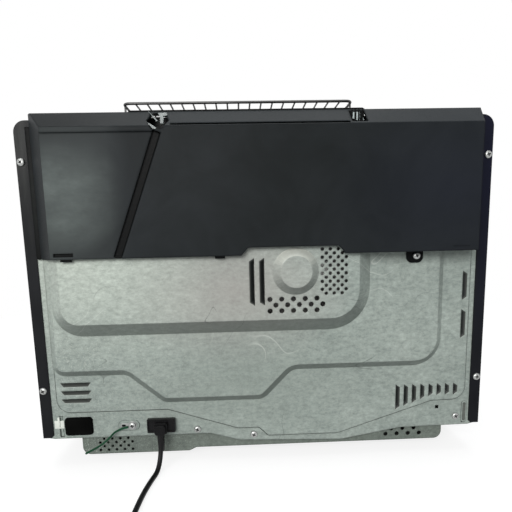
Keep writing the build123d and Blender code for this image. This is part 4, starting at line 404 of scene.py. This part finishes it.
def rubbery(name, colour, roughness=0.62, ripple=500.0, shine=0.25):
    """Soft vinyl or rubber with a dusty bloom."""
    s = Shader(name, colour, roughness)
    s.set("Specular IOR Level", shine)
    bloom = s.noise(40.0, 4.0)
    lighter = tuple(min(1.0, c * 1.6 + 0.004) for c in colour)
    s.feed("Base Color", s.ramp(bloom, [(0.35, colour), (0.75, lighter)]))
    s.feed("Roughness", s.spread(bloom, roughness - 0.1, roughness + 0.1))
    return s.bump(s.noise(ripple), 0.12, 0.0002).material


def woven(name, colour):
    """Glass fibre blanket."""
    s = Shader(name, colour, 0.9)
    strands = s.noise(260.0, 6.0, 0.75, s.stretched((1.0, 2.5, 1.0)), 1.5)
    s.feed("Base Color", s.ramp(strands, [(0.3, tuple(c * 0.7 for c in colour)), (0.7, colour)]))
    return s.bump(strands, 0.6, 0.002).material


def circuit(name, colour):
    """Printed board: copper tracks under green lacquer."""
    s = Shader(name, colour, 0.35)
    tracks = s.cells(120.0)
    s.feed("Base Color", s.mix(s.spread(tracks, 0.0, 0.5, 0.5, 0.55), colour, (0.12, 0.3, 0.1)))
    return s.bump(tracks, 0.3, 0.0003).material


def heated(name):
    """Heater tube, straw and grey from heat."""
    s = Shader(name, (0.3, 0.27, 0.24), 0.45, 0.85)
    tint = s.noise(12.0, 3.0)
    stops = [(0.3, (0.2, 0.19, 0.2)), (0.55, (0.36, 0.3, 0.22)), (0.75, (0.3, 0.26, 0.3))]
    s.feed("Base Color", s.ramp(tint, stops))
    s.feed("Roughness", s.spread(s.noise(200.0), 0.35, 0.6))
    return s.bump(s.noise(400.0), 0.2, 0.0002).material


MATERIALS = {
    "black_paint": painted("black_paint", (0.007, 0.0075, 0.009), 0.34),
    "galvanised": galvanised("galvanised", (0.285, 0.33, 0.312), (0.395, 0.445, 0.418), LOUVRES),
    "cover_plastic": rear_moulding("cover_plastic"),
    "foot_rubber": rubbery("foot_rubber", (0.02, 0.02, 0.02)),
    "frame_enamel": painted("frame_enamel", (0.02, 0.02, 0.022), 0.3),
    "cavity_coat": enamel("cavity_coat", (0.16, 0.155, 0.15)),
    "ceramic": enamel("ceramic", (0.5, 0.49, 0.46), (0.3, 0.29, 0.27), 0.3),
    "tray_enamel": enamel("tray_enamel", (0.012, 0.012, 0.014), (0.2, 0.2, 0.2)),
    "sheet_steel": bright_metal("sheet_steel", (0.55, 0.55, 0.53), 0.35),
    "stirrer_metal": bright_metal("stirrer_metal", (0.7, 0.7, 0.7), 0.35),
    "heater_tube": heated("heater_tube"),
    "blanket": woven("blanket", (0.8, 0.78, 0.68)),
    "board": circuit("board", (0.02, 0.14, 0.05)),
    "inner_plastic": moulded("inner_plastic", (0.10, 0.10, 0.11), 0.5),
    "silicone": rubbery("silicone", (0.62, 0.6, 0.56), 0.5),
    "lamp": glassy("lamp", (0.9, 0.87, 0.78), 0.3, 0.8),
    "door_plastic": moulded("door_plastic", (0.010, 0.010, 0.011), 0.2, 700.0, 0.06, 0.22),
    "door_pane": glassy("door_pane", (0.012, 0.012, 0.014), 0.03, 0.82),
    "door_steel": bright_metal("door_steel", (0.45, 0.45, 0.45), 0.3, (0.02, 1.0, 1.0)),
    "seal_rubber": rubbery("seal_rubber", (0.04, 0.04, 0.04)),
    "handle_metal": bright_metal("handle_metal", (0.62, 0.62, 0.63), 0.24, (0.01, 1.0, 1.0), 0.16),
    "display": glassy("display", (0.008, 0.008, 0.012), 0.04, 0.96),
    "knob": bright_metal("knob", (0.58, 0.58, 0.59), 0.24, (1.0, 0.05, 1.0), 0.16),
    "button": moulded("button", (0.16, 0.16, 0.165), 0.35),
    "tank_clear": glassy("tank_clear", (0.78, 0.86, 0.9), 0.04, 0.4),
    "drip_plastic": moulded("drip_plastic", (0.014, 0.014, 0.015), 0.4),
    "wire_chrome": bright_metal("wire_chrome", (0.085, 0.085, 0.085), 0.34, (1.0, 1.0, 1.0), 0.1),
    "inlet_plastic": moulded("inlet_plastic", (0.004, 0.004, 0.0045), 0.3, 900.0, 0.1, 0.16),
    "cord_jacket": rubbery("cord_jacket", (0.006, 0.006, 0.0065), 0.42, 500.0, 0.12),
    "earth_green": rubbery("earth_green", (0.006, 0.050, 0.022), 0.5, 500.0, 0.12),
    "plug_rubber": rubbery("plug_rubber", (0.001, 0.001, 0.001), 0.7, 500.0, 0.03),
    "zinc": bright_metal("zinc", (0.40, 0.41, 0.40), 0.3),
}
# Finishes outside the slots, and the nodes that differ from the rest of their slot
# darker copy of the galvanised sheet: painted shade on the base pan, which lies under the panel
SHADED_GALVANISED = galvanised("galvanised_shaded", (0.14, 0.165, 0.15), (0.20, 0.23, 0.205))
# dark zinc: painted shade in the cross recesses of the screw heads
RECESS_SHADE = bright_metal("zinc_recess_shade", (0.07, 0.07, 0.07), 0.5)
SLOT_SHADE = galvanised("slot_shade", (0.10, 0.11, 0.10), (0.15, 0.16, 0.15))
FITTING_GREY = moulded("fitting_grey", (0.13, 0.155, 0.155), 0.2, 400.0, 0.1)
CELL_PALE = moulded("cell_pale", (0.62, 0.72, 0.73), 0.5, 200.0, 0.2)
OWN = {"base_pan": SHADED_GALVANISED, "corner_clip": moulded("clip_white", (0.62, 0.65, 0.60), 0.4, 300.0, 0.3)}
for row in frame["record"]["subparts"]:
    node = frame["nodes"][row["node"]]
    finish = OWN.get(row["node"], MATERIALS[row["material_slot"]])
    for place in node.material_slots:
        place.material = finish
    if not node.material_slots:
        node.data.materials.append(finish)


def finish_piece(obj, slot, body="oven"):
    """Material of its slot and the body, for a new piece."""
    if not obj.data.materials:
        obj.data.materials.append(MATERIALS[slot])
    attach(obj, body)
    return obj


def mesh_piece(name, form, slot, bevel=0.0, smooth=True):
    """Object of the oven's body from a bmesh, with an optional bevel."""
    data = mesh_from(name, form)
    for face in data.polygons:
        face.use_smooth = smooth
    obj = add_object(name, data)
    if bevel:
        rim = obj.modifiers.new("rim", "BEVEL")
        rim.width = bevel
        rim.segments = 2
        rim.limit_method = "ANGLE"
        rim.harden_normals = True
    return finish_piece(obj, slot)


def round_curve(name, radius, resolution):
    """Curve data with a round section; the radius is in millimetres."""
    data = bpy.data.curves.new(name, "CURVE")
    data.dimensions = "3D"
    data.bevel_depth = radius / 1000
    data.bevel_resolution = resolution
    data.use_fill_caps = True
    return data


# Mains lead and earth wire: the same route points as the solids
CORD_D = 5.4
CORD_Z = CORD_D / 2
LEAD = [
    (116.6, 9, 46.0),
    (116.6, 9, CORD_Z),
    (125.6, 54, CORD_Z),
    (128.4, 98, CORD_Z),
    (128.4, 156, CORD_Z),
]
COIL_PITCH = CORD_D + 0.8
COIL_R = 5.5 * CORD_D
COIL_TURNS = 5
COIL_OUT = COIL_R + 1.2 * COIL_PITCH
COIL_IN = COIL_OUT - COIL_PITCH * (COIL_TURNS / 2 - 0.25)
COIL_X = LEAD[-1][0] + COIL_OUT
COIL_P = LEAD[-1][1]
COIL_TAIL = 45.0
POINTS_PER_TURN = 16


def coil_point(turns):
    """Place on the coil after so many turns: inwards on the floor, up, then outwards on top."""
    half = COIL_TURNS / 2
    if turns <= half - 0.25:
        radius = COIL_OUT - COIL_PITCH * turns
        height = CORD_Z
    elif turns >= half:
        radius = COIL_IN + COIL_PITCH * (turns - half)
        height = CORD_Z + COIL_PITCH
    else:
        radius = COIL_IN
        climb = (turns - half + 0.25) / 0.25
        height = CORD_Z + COIL_PITCH * (1 - math.cos(math.pi * climb)) / 2
    angle = math.pi - 2 * math.pi * turns
    return (COIL_X + radius * math.cos(angle), COIL_P + radius * math.sin(angle), height)


def cord_piece(name, points, diameter, slot, *nodes):
    """A round cord on a NURBS line, in place of its CAD tube."""
    data = round_curve(name, diameter / 2, 5)
    data.resolution_u = 12
    line = data.splines.new("NURBS")
    line.points.add(len(points) - 1)
    for spot, point in zip(line.points, points):
        spot.co = (*rear_point(*point), 1)
    line.order_u = 3
    line.use_endpoint_u = True
    obj = finish_piece(add_object(name, data), slot)
    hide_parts(*nodes)
    return obj


turn_points = []
for step in range(1, POINTS_PER_TURN * COIL_TURNS + 1):
    turn_points.append(coil_point(step / POINTS_PER_TURN))
tail_way = Vector(coil_point(COIL_TURNS)) - Vector(coil_point(COIL_TURNS - 0.01))
tail_way.normalize()
tail_start = Vector(coil_point(COIL_TURNS))
tail = [tuple(tail_start + tail_way * step) for step in (COIL_TAIL / 2, COIL_TAIL)]
lead = cord_piece("mains_lead", LEAD + turn_points + tail, CORD_D, "cord_jacket", "mains_cord", "mains_coil")

EARTH_D = 2.2
EARTH = [
    (154.4, 0.75, 46.1),
    (166.5, 2.6, 44.6),
    (176.6, 6, 34.0),
    (186.1, 12, 28.2),
    (196.5, 22, 26.4),
]
wire = cord_piece("earth_lead", EARTH, EARTH_D, "earth_green", "earth_wire")


# Pan-head screws with cross recesses, in place of the plain heads of the solids. A profile is radius and
# height in millimetres, a blade is length and width, a seat is X, Z and p. The heads are HEAD_SCALE larger.
HEAD_SCALE = 1.1
HEAD_SIDES = 32
FIRST_TURN = 0.7
NEXT_TURN = 1.3
BLADE_TOP = (4.8, 1.25)
BLADE_TIP = (1.8, 0.8)
BLADE_MIDDLE = 1.75
BLADE_HEIGHT = 1.9
SCREW_SEATS = [
    (245, 337, 0),
    (245, 91.5, 0),
    (-245, 337, 0),
    (-245, 91.5, 0),
    (76.5, 39.8, -1),
    (12.1, 31.2, -1),
    (-223, 44.4, -1),
    (-167, 232, 10.1),
    (149.5, 47.6, 0.6),
]
HEAD_PROFILE = [(3.75, 0.0), (3.75, 0.45), (3.6, 0.95), (3.2, 1.45), (2.45, 1.9), (1.4, 2.12), (0.0, 2.2)]


def screw_object(name, form):
    """Object of a bmesh in millimetres, with the zinc of the head and painted shade in its recess."""
    form.transform(Matrix.Scale(0.001, 4))
    data = mesh_from(name, form)
    data.materials.append(MATERIALS["zinc"])
    data.materials.append(RECESS_SHADE)
    return add_object(name, data)


def recessed_head():
    """Mesh of one head in metres, axis along Z, with the cross cut in by booleans."""
    form = bmesh.new()
    rings = []
    for radius, height in HEAD_PROFILE[:-1]:
        ring = []
        for step in range(HEAD_SIDES):
            angle = 2 * math.pi * step / HEAD_SIDES
            ring.append(form.verts.new((radius * math.cos(angle), radius * math.sin(angle), height)))
        rings.append(ring)
    top = form.verts.new((0, 0, HEAD_PROFILE[-1][1]))
    form.faces.new(list(reversed(rings[0])))
    for step in range(HEAD_SIDES):
        after = (step + 1) % HEAD_SIDES
        for lower, upper in zip(rings, rings[1:]):
            form.faces.new((lower[step], lower[after], upper[after], upper[step]))
        form.faces.new((rings[-1][step], rings[-1][after], top))
    head = screw_object("head", form)
    blades = []
    for turn in (0, math.pi / 2):
        wedge = bmesh.new()
        bmesh.ops.create_cube(wedge, size=1.0)
        for vert in wedge.verts:
            length, width = BLADE_TOP if vert.co.z > 0 else BLADE_TIP
            vert.co = (vert.co.x * length, vert.co.y * width, BLADE_MIDDLE + vert.co.z * BLADE_HEIGHT)
        wedge.transform(Matrix.Rotation(turn, 4, "Z"))
        for face in wedge.faces:
            face.material_index = 1
        blade = screw_object("blade", wedge)
        cut = head.modifiers.new("cut", "BOOLEAN")
        cut.operation = "DIFFERENCE"
        cut.solver = "EXACT"
        cut.object = blade
        blades.append(blade)
    graph = bpy.context.evaluated_depsgraph_get()
    result = bpy.data.meshes.new_from_object(head.evaluated_get(graph))
    for spare in blades + [head]:
        bpy.data.objects.remove(spare)
    return result


head_mesh = recessed_head()
heads = bmesh.new()
for number, (seat_x, seat_z, seat_p) in enumerate(SCREW_SEATS):
    one = bmesh.new()
    one.from_mesh(head_mesh)
    seat = Matrix.Translation(rear_point(seat_x, seat_p, seat_z))
    turned = Matrix.Rotation(FIRST_TURN + NEXT_TURN * number, 4, "Y") @ Matrix.Rotation(-math.pi / 2, 4, "X")
    one.transform(seat @ turned @ Matrix.Scale(HEAD_SCALE, 4))
    copy = mesh_from("one_head", one)
    heads.from_mesh(copy)
    bpy.data.meshes.remove(copy)
pan_heads = mesh_piece("pan_heads", heads, "zinc", bevel=0.00012)
pan_heads.data.materials.append(RECESS_SHADE)
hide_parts("screws")


# Wire rack: round wires in place of the flat-sided bars of the solid
def rounded_route(points, radius, closed=False, steps=6):
    """Corners of a route turned into arcs, in millimetres."""
    route = []
    count = len(points)
    for index in range(count):
        here = Vector(points[index])
        if not closed and index in (0, count - 1):
            route.append(here)
            continue
        back = (Vector(points[index - 1]) - here).normalized()
        ahead = (Vector(points[(index + 1) % count]) - here).normalized()
        half = back.angle(ahead) / 2
        reach = radius / math.tan(half)
        middle = here + (back + ahead).normalized() * (radius / math.sin(half))
        first = here + back * reach - middle
        last = here + ahead * reach - middle
        sweep = first.angle(last)
        for step in range(steps + 1):
            share = step / steps
            arm = first * math.sin(sweep * (1 - share)) + last * math.sin(sweep * share)
            route.append(middle + arm / math.sin(sweep))
    return route


def wire_piece(name, routes, radius, closed=False):
    """Round wires of the rack on straight-sided routes, all of one thickness."""
    data = round_curve(name, radius, 4)
    for route in routes:
        line = data.splines.new("POLY")
        line.points.add(len(route) - 1)
        for spot, point in zip(line.points, route):
            spot.co = (*(Vector(point) / 1000), 1)
        line.use_cyclic_u = closed
    return finish_piece(add_object(name, data), "wire_chrome", "rack")


RACK_X0 = -122.5
RACK_X1 = 160.0
RACK_Y0 = -120.0
RACK_Y1 = 88.5
RACK_Z = 421.0
RACK_WIRES = 19
RACK_CORNER_R = 8.0
CABINET_TOP = 378.0
BORDER_R = 1.7
WIRE_R = 1.1
WIRE_RISE = 0.6
CARRIER_R = 1.5
CARRIER_DROP = 1.6
CARRIER_INSET = 60.0
LEG_R = 1.3
LEG_INSET = 9.0
LEG_LEAN = 3.0
LEG_FOOT = 20.0
LEG_CORNER_R = 5.0
corners = [
    (RACK_X0, RACK_Y0, RACK_Z),
    (RACK_X1, RACK_Y0, RACK_Z),
    (RACK_X1, RACK_Y1, RACK_Z),
    (RACK_X0, RACK_Y1, RACK_Z),
]
border = wire_piece("rack_border", [rounded_route(corners, RACK_CORNER_R, True)], BORDER_R, True)
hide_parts("wire_rack")
cross_routes = []
for wire in range(RACK_WIRES):
    wire_x = RACK_X0 + (RACK_X1 - RACK_X0) * (wire + 1) / (RACK_WIRES + 1)
    cross_routes.append([(wire_x, wire_y, RACK_Z + WIRE_RISE) for wire_y in (RACK_Y0, RACK_Y1)])
wire_piece("rack_wires", cross_routes, WIRE_R)
carrier_routes = []
for carrier_y in (RACK_Y0 + CARRIER_INSET, RACK_Y1 - CARRIER_INSET):
    carrier_routes.append([(end_x, carrier_y, RACK_Z - CARRIER_DROP) for end_x in (RACK_X0, RACK_X1)])
wire_piece("rack_carriers", carrier_routes, CARRIER_R)
# U-shaped legs in the plane of the rack's two sides
FOOT_Z = CABINET_TOP + LEG_R + 0.3
LEG_TURNS = [
    (LEG_INSET, RACK_Z),
    (LEG_INSET + LEG_LEAN, FOOT_Z),
    (LEG_INSET + LEG_LEAN + LEG_FOOT, FOOT_Z),
    (LEG_INSET + 2 * LEG_LEAN + LEG_FOOT, RACK_Z),
]
leg_routes = []
for leg_x in (RACK_X0, RACK_X1):
    for leg_y, inwards in ((RACK_Y0, 1), (RACK_Y1, -1)):
        leg = [(leg_x, leg_y + inwards * inset, height) for inset, height in LEG_TURNS]
        leg_routes.append(rounded_route(leg, LEG_CORNER_R))
wire_piece("rack_legs", leg_routes, LEG_R)


# Small pieces on the rear: earth lug, inlet block, corner slot, and what the cover's openings show
def plate(form, outline, p0, p1):
    """Outline of (X, Z) points as a plate from p0 to p1, added to a bmesh."""
    low = [form.verts.new(rear_point(x, p0, z)) for x, z in outline]
    high = [form.verts.new(rear_point(x, p1, z)) for x, z in outline]
    form.faces.new(low)
    form.faces.new(list(reversed(high)))
    for index in range(len(outline)):
        after = (index + 1) % len(outline)
        form.faces.new((low[index], high[index], high[after], low[after]))


def oblong(x0, x1, z0, z1, radius, steps=6):
    """Rectangle with round corners as (X, Z) points."""
    points = []
    x0, x1, z0, z1 = x0 + radius, x1 - radius, z0 + radius, z1 - radius
    for quarter, (x, z) in enumerate([(x1, z1), (x0, z1), (x0, z0), (x1, z0)]):
        for step in range(steps + 1):
            angle = math.pi / 2 * (quarter + step / steps)
            points.append((x + radius * math.cos(angle), z + radius * math.sin(angle)))
    return points


def plates_piece(name, rows, slot, bevel=0.0, material=None):
    """One piece of several plates: rows of outline, lower p and upper p."""
    form = bmesh.new()
    for outline, p0, p1 in rows:
        plate(form, outline, p0, p1)
    bmesh.ops.recalc_face_normals(form, faces=form.faces)
    piece = mesh_piece(name, form, slot, bevel, False)
    if material:
        piece.data.materials.clear()
        piece.data.materials.append(material)
    return piece


# Earth lug with its eyelet on a seat that stands out of the sheet
STRIP_P = -1.0
LUG_FOOT = STRIP_P - 0.05
LUG_P = STRIP_P + 0.6
lug = plates_piece(
    "earth_lug",
    [
        (oblong(153.0, 163.0, 44.9, 50.3, 2.6, 8), LUG_P - 0.02, 0.3),
        (oblong(144.4, 154.6, 42.5, 52.7, 5.05, 8), LUG_P - 0.02, 0.6),
    ],
    "zinc",
    0.00025,
)
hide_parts("earth_terminal")
seat_row = (oblong(141.4, 165.4, 41.4, 53.8, 6.1, 8), LUG_FOOT, LUG_P)
eyelet_row = (oblong(157.0, 161.5, 46.7, 49.1, 1.15), 0.3, 0.34)
plates_piece("earth_seat", [seat_row], "galvanised", 0.00025)
plates_piece("earth_eyelet", [eyelet_row], "plug_rubber")

# Inlet block: a flat frame with a raised rim, a stepped middle and the neck through the sheet
INLET_X0, INLET_X1 = 100.9, 132.3
INLET_Z0, INLET_Z1 = 39.6, 55.6
RIM_WIDTH = 1.6
RIM_LAP = 0.2
FRAME_P = 3.4
RIM_P = 4.8
STEP_P = 9.5
inside_z0, inside_z1 = INLET_Z0 + RIM_WIDTH - RIM_LAP, INLET_Z1 - RIM_WIDTH + RIM_LAP
inlet = plates_piece(
    "inlet_block",
    [
        (oblong(INLET_X0, INLET_X1, INLET_Z0, INLET_Z1, 1.2, 4), 0.0, FRAME_P),
        (oblong(INLET_X0, INLET_X1, INLET_Z1 - RIM_WIDTH, INLET_Z1, 0.7, 3), FRAME_P, RIM_P),
        (oblong(INLET_X0, INLET_X1, INLET_Z0, INLET_Z0 + RIM_WIDTH, 0.7, 3), FRAME_P, RIM_P),
        (oblong(INLET_X0, INLET_X0 + RIM_WIDTH, inside_z0, inside_z1, 0.7, 3), FRAME_P, RIM_P),
        (oblong(INLET_X1 - RIM_WIDTH, INLET_X1, inside_z0, inside_z1, 0.7, 3), FRAME_P, RIM_P),
        (oblong(109.2, 124.0, 39.8, 52.4, 2.4, 5), FRAME_P, STEP_P),
        (oblong(110.8, 122.4, 40.4, 50.8, 2.2, 5), STEP_P, 14.0),
        (oblong(109.6, 123.6, 42.0, 53.2, 3.0, 5), -5.0, 0.0),
    ],
    "inlet_plastic",
    0.0005,
)
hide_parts("power_inlet")

# Pressed slot in the corner
SLOT_P = -0.55
rim_row = (oblong(-236.0, -229.6, 36.5, 62.5, 3.1, 8), STRIP_P - 0.02, SLOT_P)
floor_row = (oblong(-234.6, -231.0, 38.5, 60.5, 1.7, 8), SLOT_P, SLOT_P + 0.05)
plates_piece("corner_slot", [rim_row], "galvanised", 0.0002)
plates_piece("corner_slot_floor", [floor_row], "galvanised", 0.0, SLOT_SHADE)

# Drain fitting seen through the cut-out, and the pale cells behind the ribs
BACK_P = 10.9
BRACKET = [
    (100.1, 379.2),
    (91.2, 379.5),
    (90.8, 376.7),
    (94.5, 376.2),
    (94.9, 369.1),
    (98.2, 369.2),
    (98.0, 375.8),
]
ROD = [(109.6, 381.2), (107.4, 379.0), (100.0, 371.4), (101.6, 370.8)]
LIP = [(109.4, 368.2), (107.9, 367.9), (100.9, 363.4), (102.1, 361.6), (105.0, 362.9)]
fitting_rows = [(BRACKET, BACK_P, 16.0), (ROD, BACK_P, 18.0), (LIP, BACK_P, 24.0)]
plates_piece("drain_fitting", fitting_rows, "tank_clear", 0.0002, FITTING_GREY)
CELLS = [
    [(-94.3, 379.0), (-98.3, 379.0), (-98.3, 372.5), (-94.3, 372.8)],
    [(-99.9, 378.9), (-103.6, 378.9), (-103.6, 370.8), (-99.9, 371.2)],
    [(-105.2, 378.2), (-108.0, 371.0), (-105.2, 369.4)],
]
cell_rows = [(cell, BACK_P + 0.05, BACK_P + 0.4) for cell in CELLS]
plates_piece("window_cells", cell_rows, "silicone", 0.0, CELL_PALE)


# Camera, floor and light
def add_camera():
    """Camera at the place and angle of the photograph's."""
    data = bpy.data.cameras.new("camera")
    data.sensor_width = 36
    data.lens = LENS
    data.shift_y = SHIFT_Y
    data.clip_start = 0.01
    cam = add_object("camera", data)
    back = CAMERA_RIGHT.cross(CAMERA_UP)
    turn = Matrix((CAMERA_RIGHT, CAMERA_UP, back)).transposed()
    cam.matrix_world = Matrix.Translation(CAMERA_AT) @ turn.to_4x4()
    bpy.context.scene.camera = cam


def add_lamp(name, at, target, size, power, colour=(1, 1, 1)):
    """Soft box of a size in metres and a power in watts, turned to its target."""
    data = bpy.data.lights.new(name, "AREA")
    data.shape = "RECTANGLE"
    data.size = size[0]
    data.size_y = size[1]
    data.energy = power
    data.color = colour
    lamp = add_object(name, data)
    lamp.location = at
    lamp.rotation_euler = (Vector(target) - Vector(at)).to_track_quat("-Z", "Y").to_euler()


def seen_white(nodes, links):
    """1 for rays that show the background itself: straight, mirrored or through glass."""
    path = nodes.new("ShaderNodeLightPath")
    total = path.outputs["Is Camera Ray"]
    for kind in ("Is Glossy Ray", "Is Transmission Ray"):
        plus = nodes.new("ShaderNodeMath")
        plus.operation = "ADD"
        plus.use_clamp = True
        links.new(total, plus.inputs[0])
        links.new(path.outputs[kind], plus.inputs[1])
        total = plus.outputs[0]
    return path, total


def add_world():
    """Soft light, more from above than from below, in front of a white background."""
    world = bpy.data.worlds.new("studio")
    world.use_nodes = True
    bpy.context.scene.world = world
    nodes = world.node_tree.nodes
    links = world.node_tree.links
    coords = nodes.new("ShaderNodeTexCoord")
    parts = nodes.new("ShaderNodeSeparateXYZ")
    links.new(coords.outputs["Generated"], parts.inputs[0])
    height = nodes.new("ShaderNodeMapRange")
    height.inputs["From Min"].default_value = -0.3
    height.inputs["From Max"].default_value = 0.9
    height.inputs["To Min"].default_value = 0.02
    height.inputs["To Max"].default_value = 0.5
    links.new(parts.outputs["Z"], height.inputs["Value"])
    light = nodes["Background"]
    light.inputs["Color"].default_value = (0.95, 0.98, 1.0, 1)
    links.new(height.outputs["Result"], light.inputs["Strength"])
    white = nodes.new("ShaderNodeBackground")
    white.inputs["Color"].default_value = (1, 1, 1, 1)
    white.inputs["Strength"].default_value = 1.0
    mix = nodes.new("ShaderNodeMixShader")
    links.new(seen_white(nodes, links)[1], mix.inputs["Fac"])
    links.new(light.outputs[0], mix.inputs[1])
    links.new(white.outputs[0], mix.inputs[2])
    links.new(mix.outputs[0], nodes["World Output"].inputs["Surface"])


FLOOR_REACH = 6.0
FLOOR_LIFT = 0.8


def add_floor():
    """Pale floor that keeps the shadow and turns into the white background away from the oven."""
    form = bmesh.new()
    bmesh.ops.create_grid(form, x_segments=2, y_segments=2, size=FLOOR_REACH)
    floor = add_object("floor", mesh_from("floor", form))
    floor.location = (0, 0, -0.0002)
    s = Shader("floor_white", (0.3, 0.3, 0.3), 0.9)
    s.set("Specular IOR Level", 0.0)
    s.feed("Base Color", s.ramp(s.noise(3.0), [(0.3, (0.29,) * 3), (0.7, (0.31,) * 3)]))
    path, seen = seen_white(s.nodes, s.links)
    straight = path.outputs["Is Camera Ray"]
    lift = s.nodes.new("ShaderNodeEmission")
    s.links.new(s.times(straight, FLOOR_LIFT), lift.inputs["Strength"])
    lit = s.nodes.new("ShaderNodeAddShader")
    s.links.new(s.bsdf.outputs[0], lit.inputs[0])
    s.links.new(lift.outputs[0], lit.inputs[1])
    away = s.spread(s.patch((0.0, 0.1, 0.0), (1.3,) * 3), 1.0, 0.0, 0.0, 0.45)
    mirrored = s.maths("SUBTRACT", seen, straight)
    share = s.maths("MAXIMUM", s.times(away, straight), mirrored)
    white = s.nodes.new("ShaderNodeEmission")
    blend = s.nodes.new("ShaderNodeMixShader")
    s.links.new(share, blend.inputs["Fac"])
    s.links.new(lit.outputs[0], blend.inputs[1])
    s.links.new(white.outputs[0], blend.inputs[2])
    s.links.new(blend.outputs[0], s.nodes["Material Output"].inputs["Surface"])
    floor.data.materials.append(s.material)


add_camera()
add_world()
add_floor()
add_lamp("key", (0.8, 2.4, 1.1), (0, 0.2, 0.2), (1.6, 1.0), 45, (1.0, 0.99, 0.97))
add_lamp("top", (0.0, 0.0, 2.2), (0, 0, 0.3), (1.6, 1.6), 16)
add_lamp("front", (0.2, -1.8, 1.4), (0, -0.2, 0.2), (1.4, 1.2), 16)

bpy.context.scene.view_settings.view_transform = "Standard"
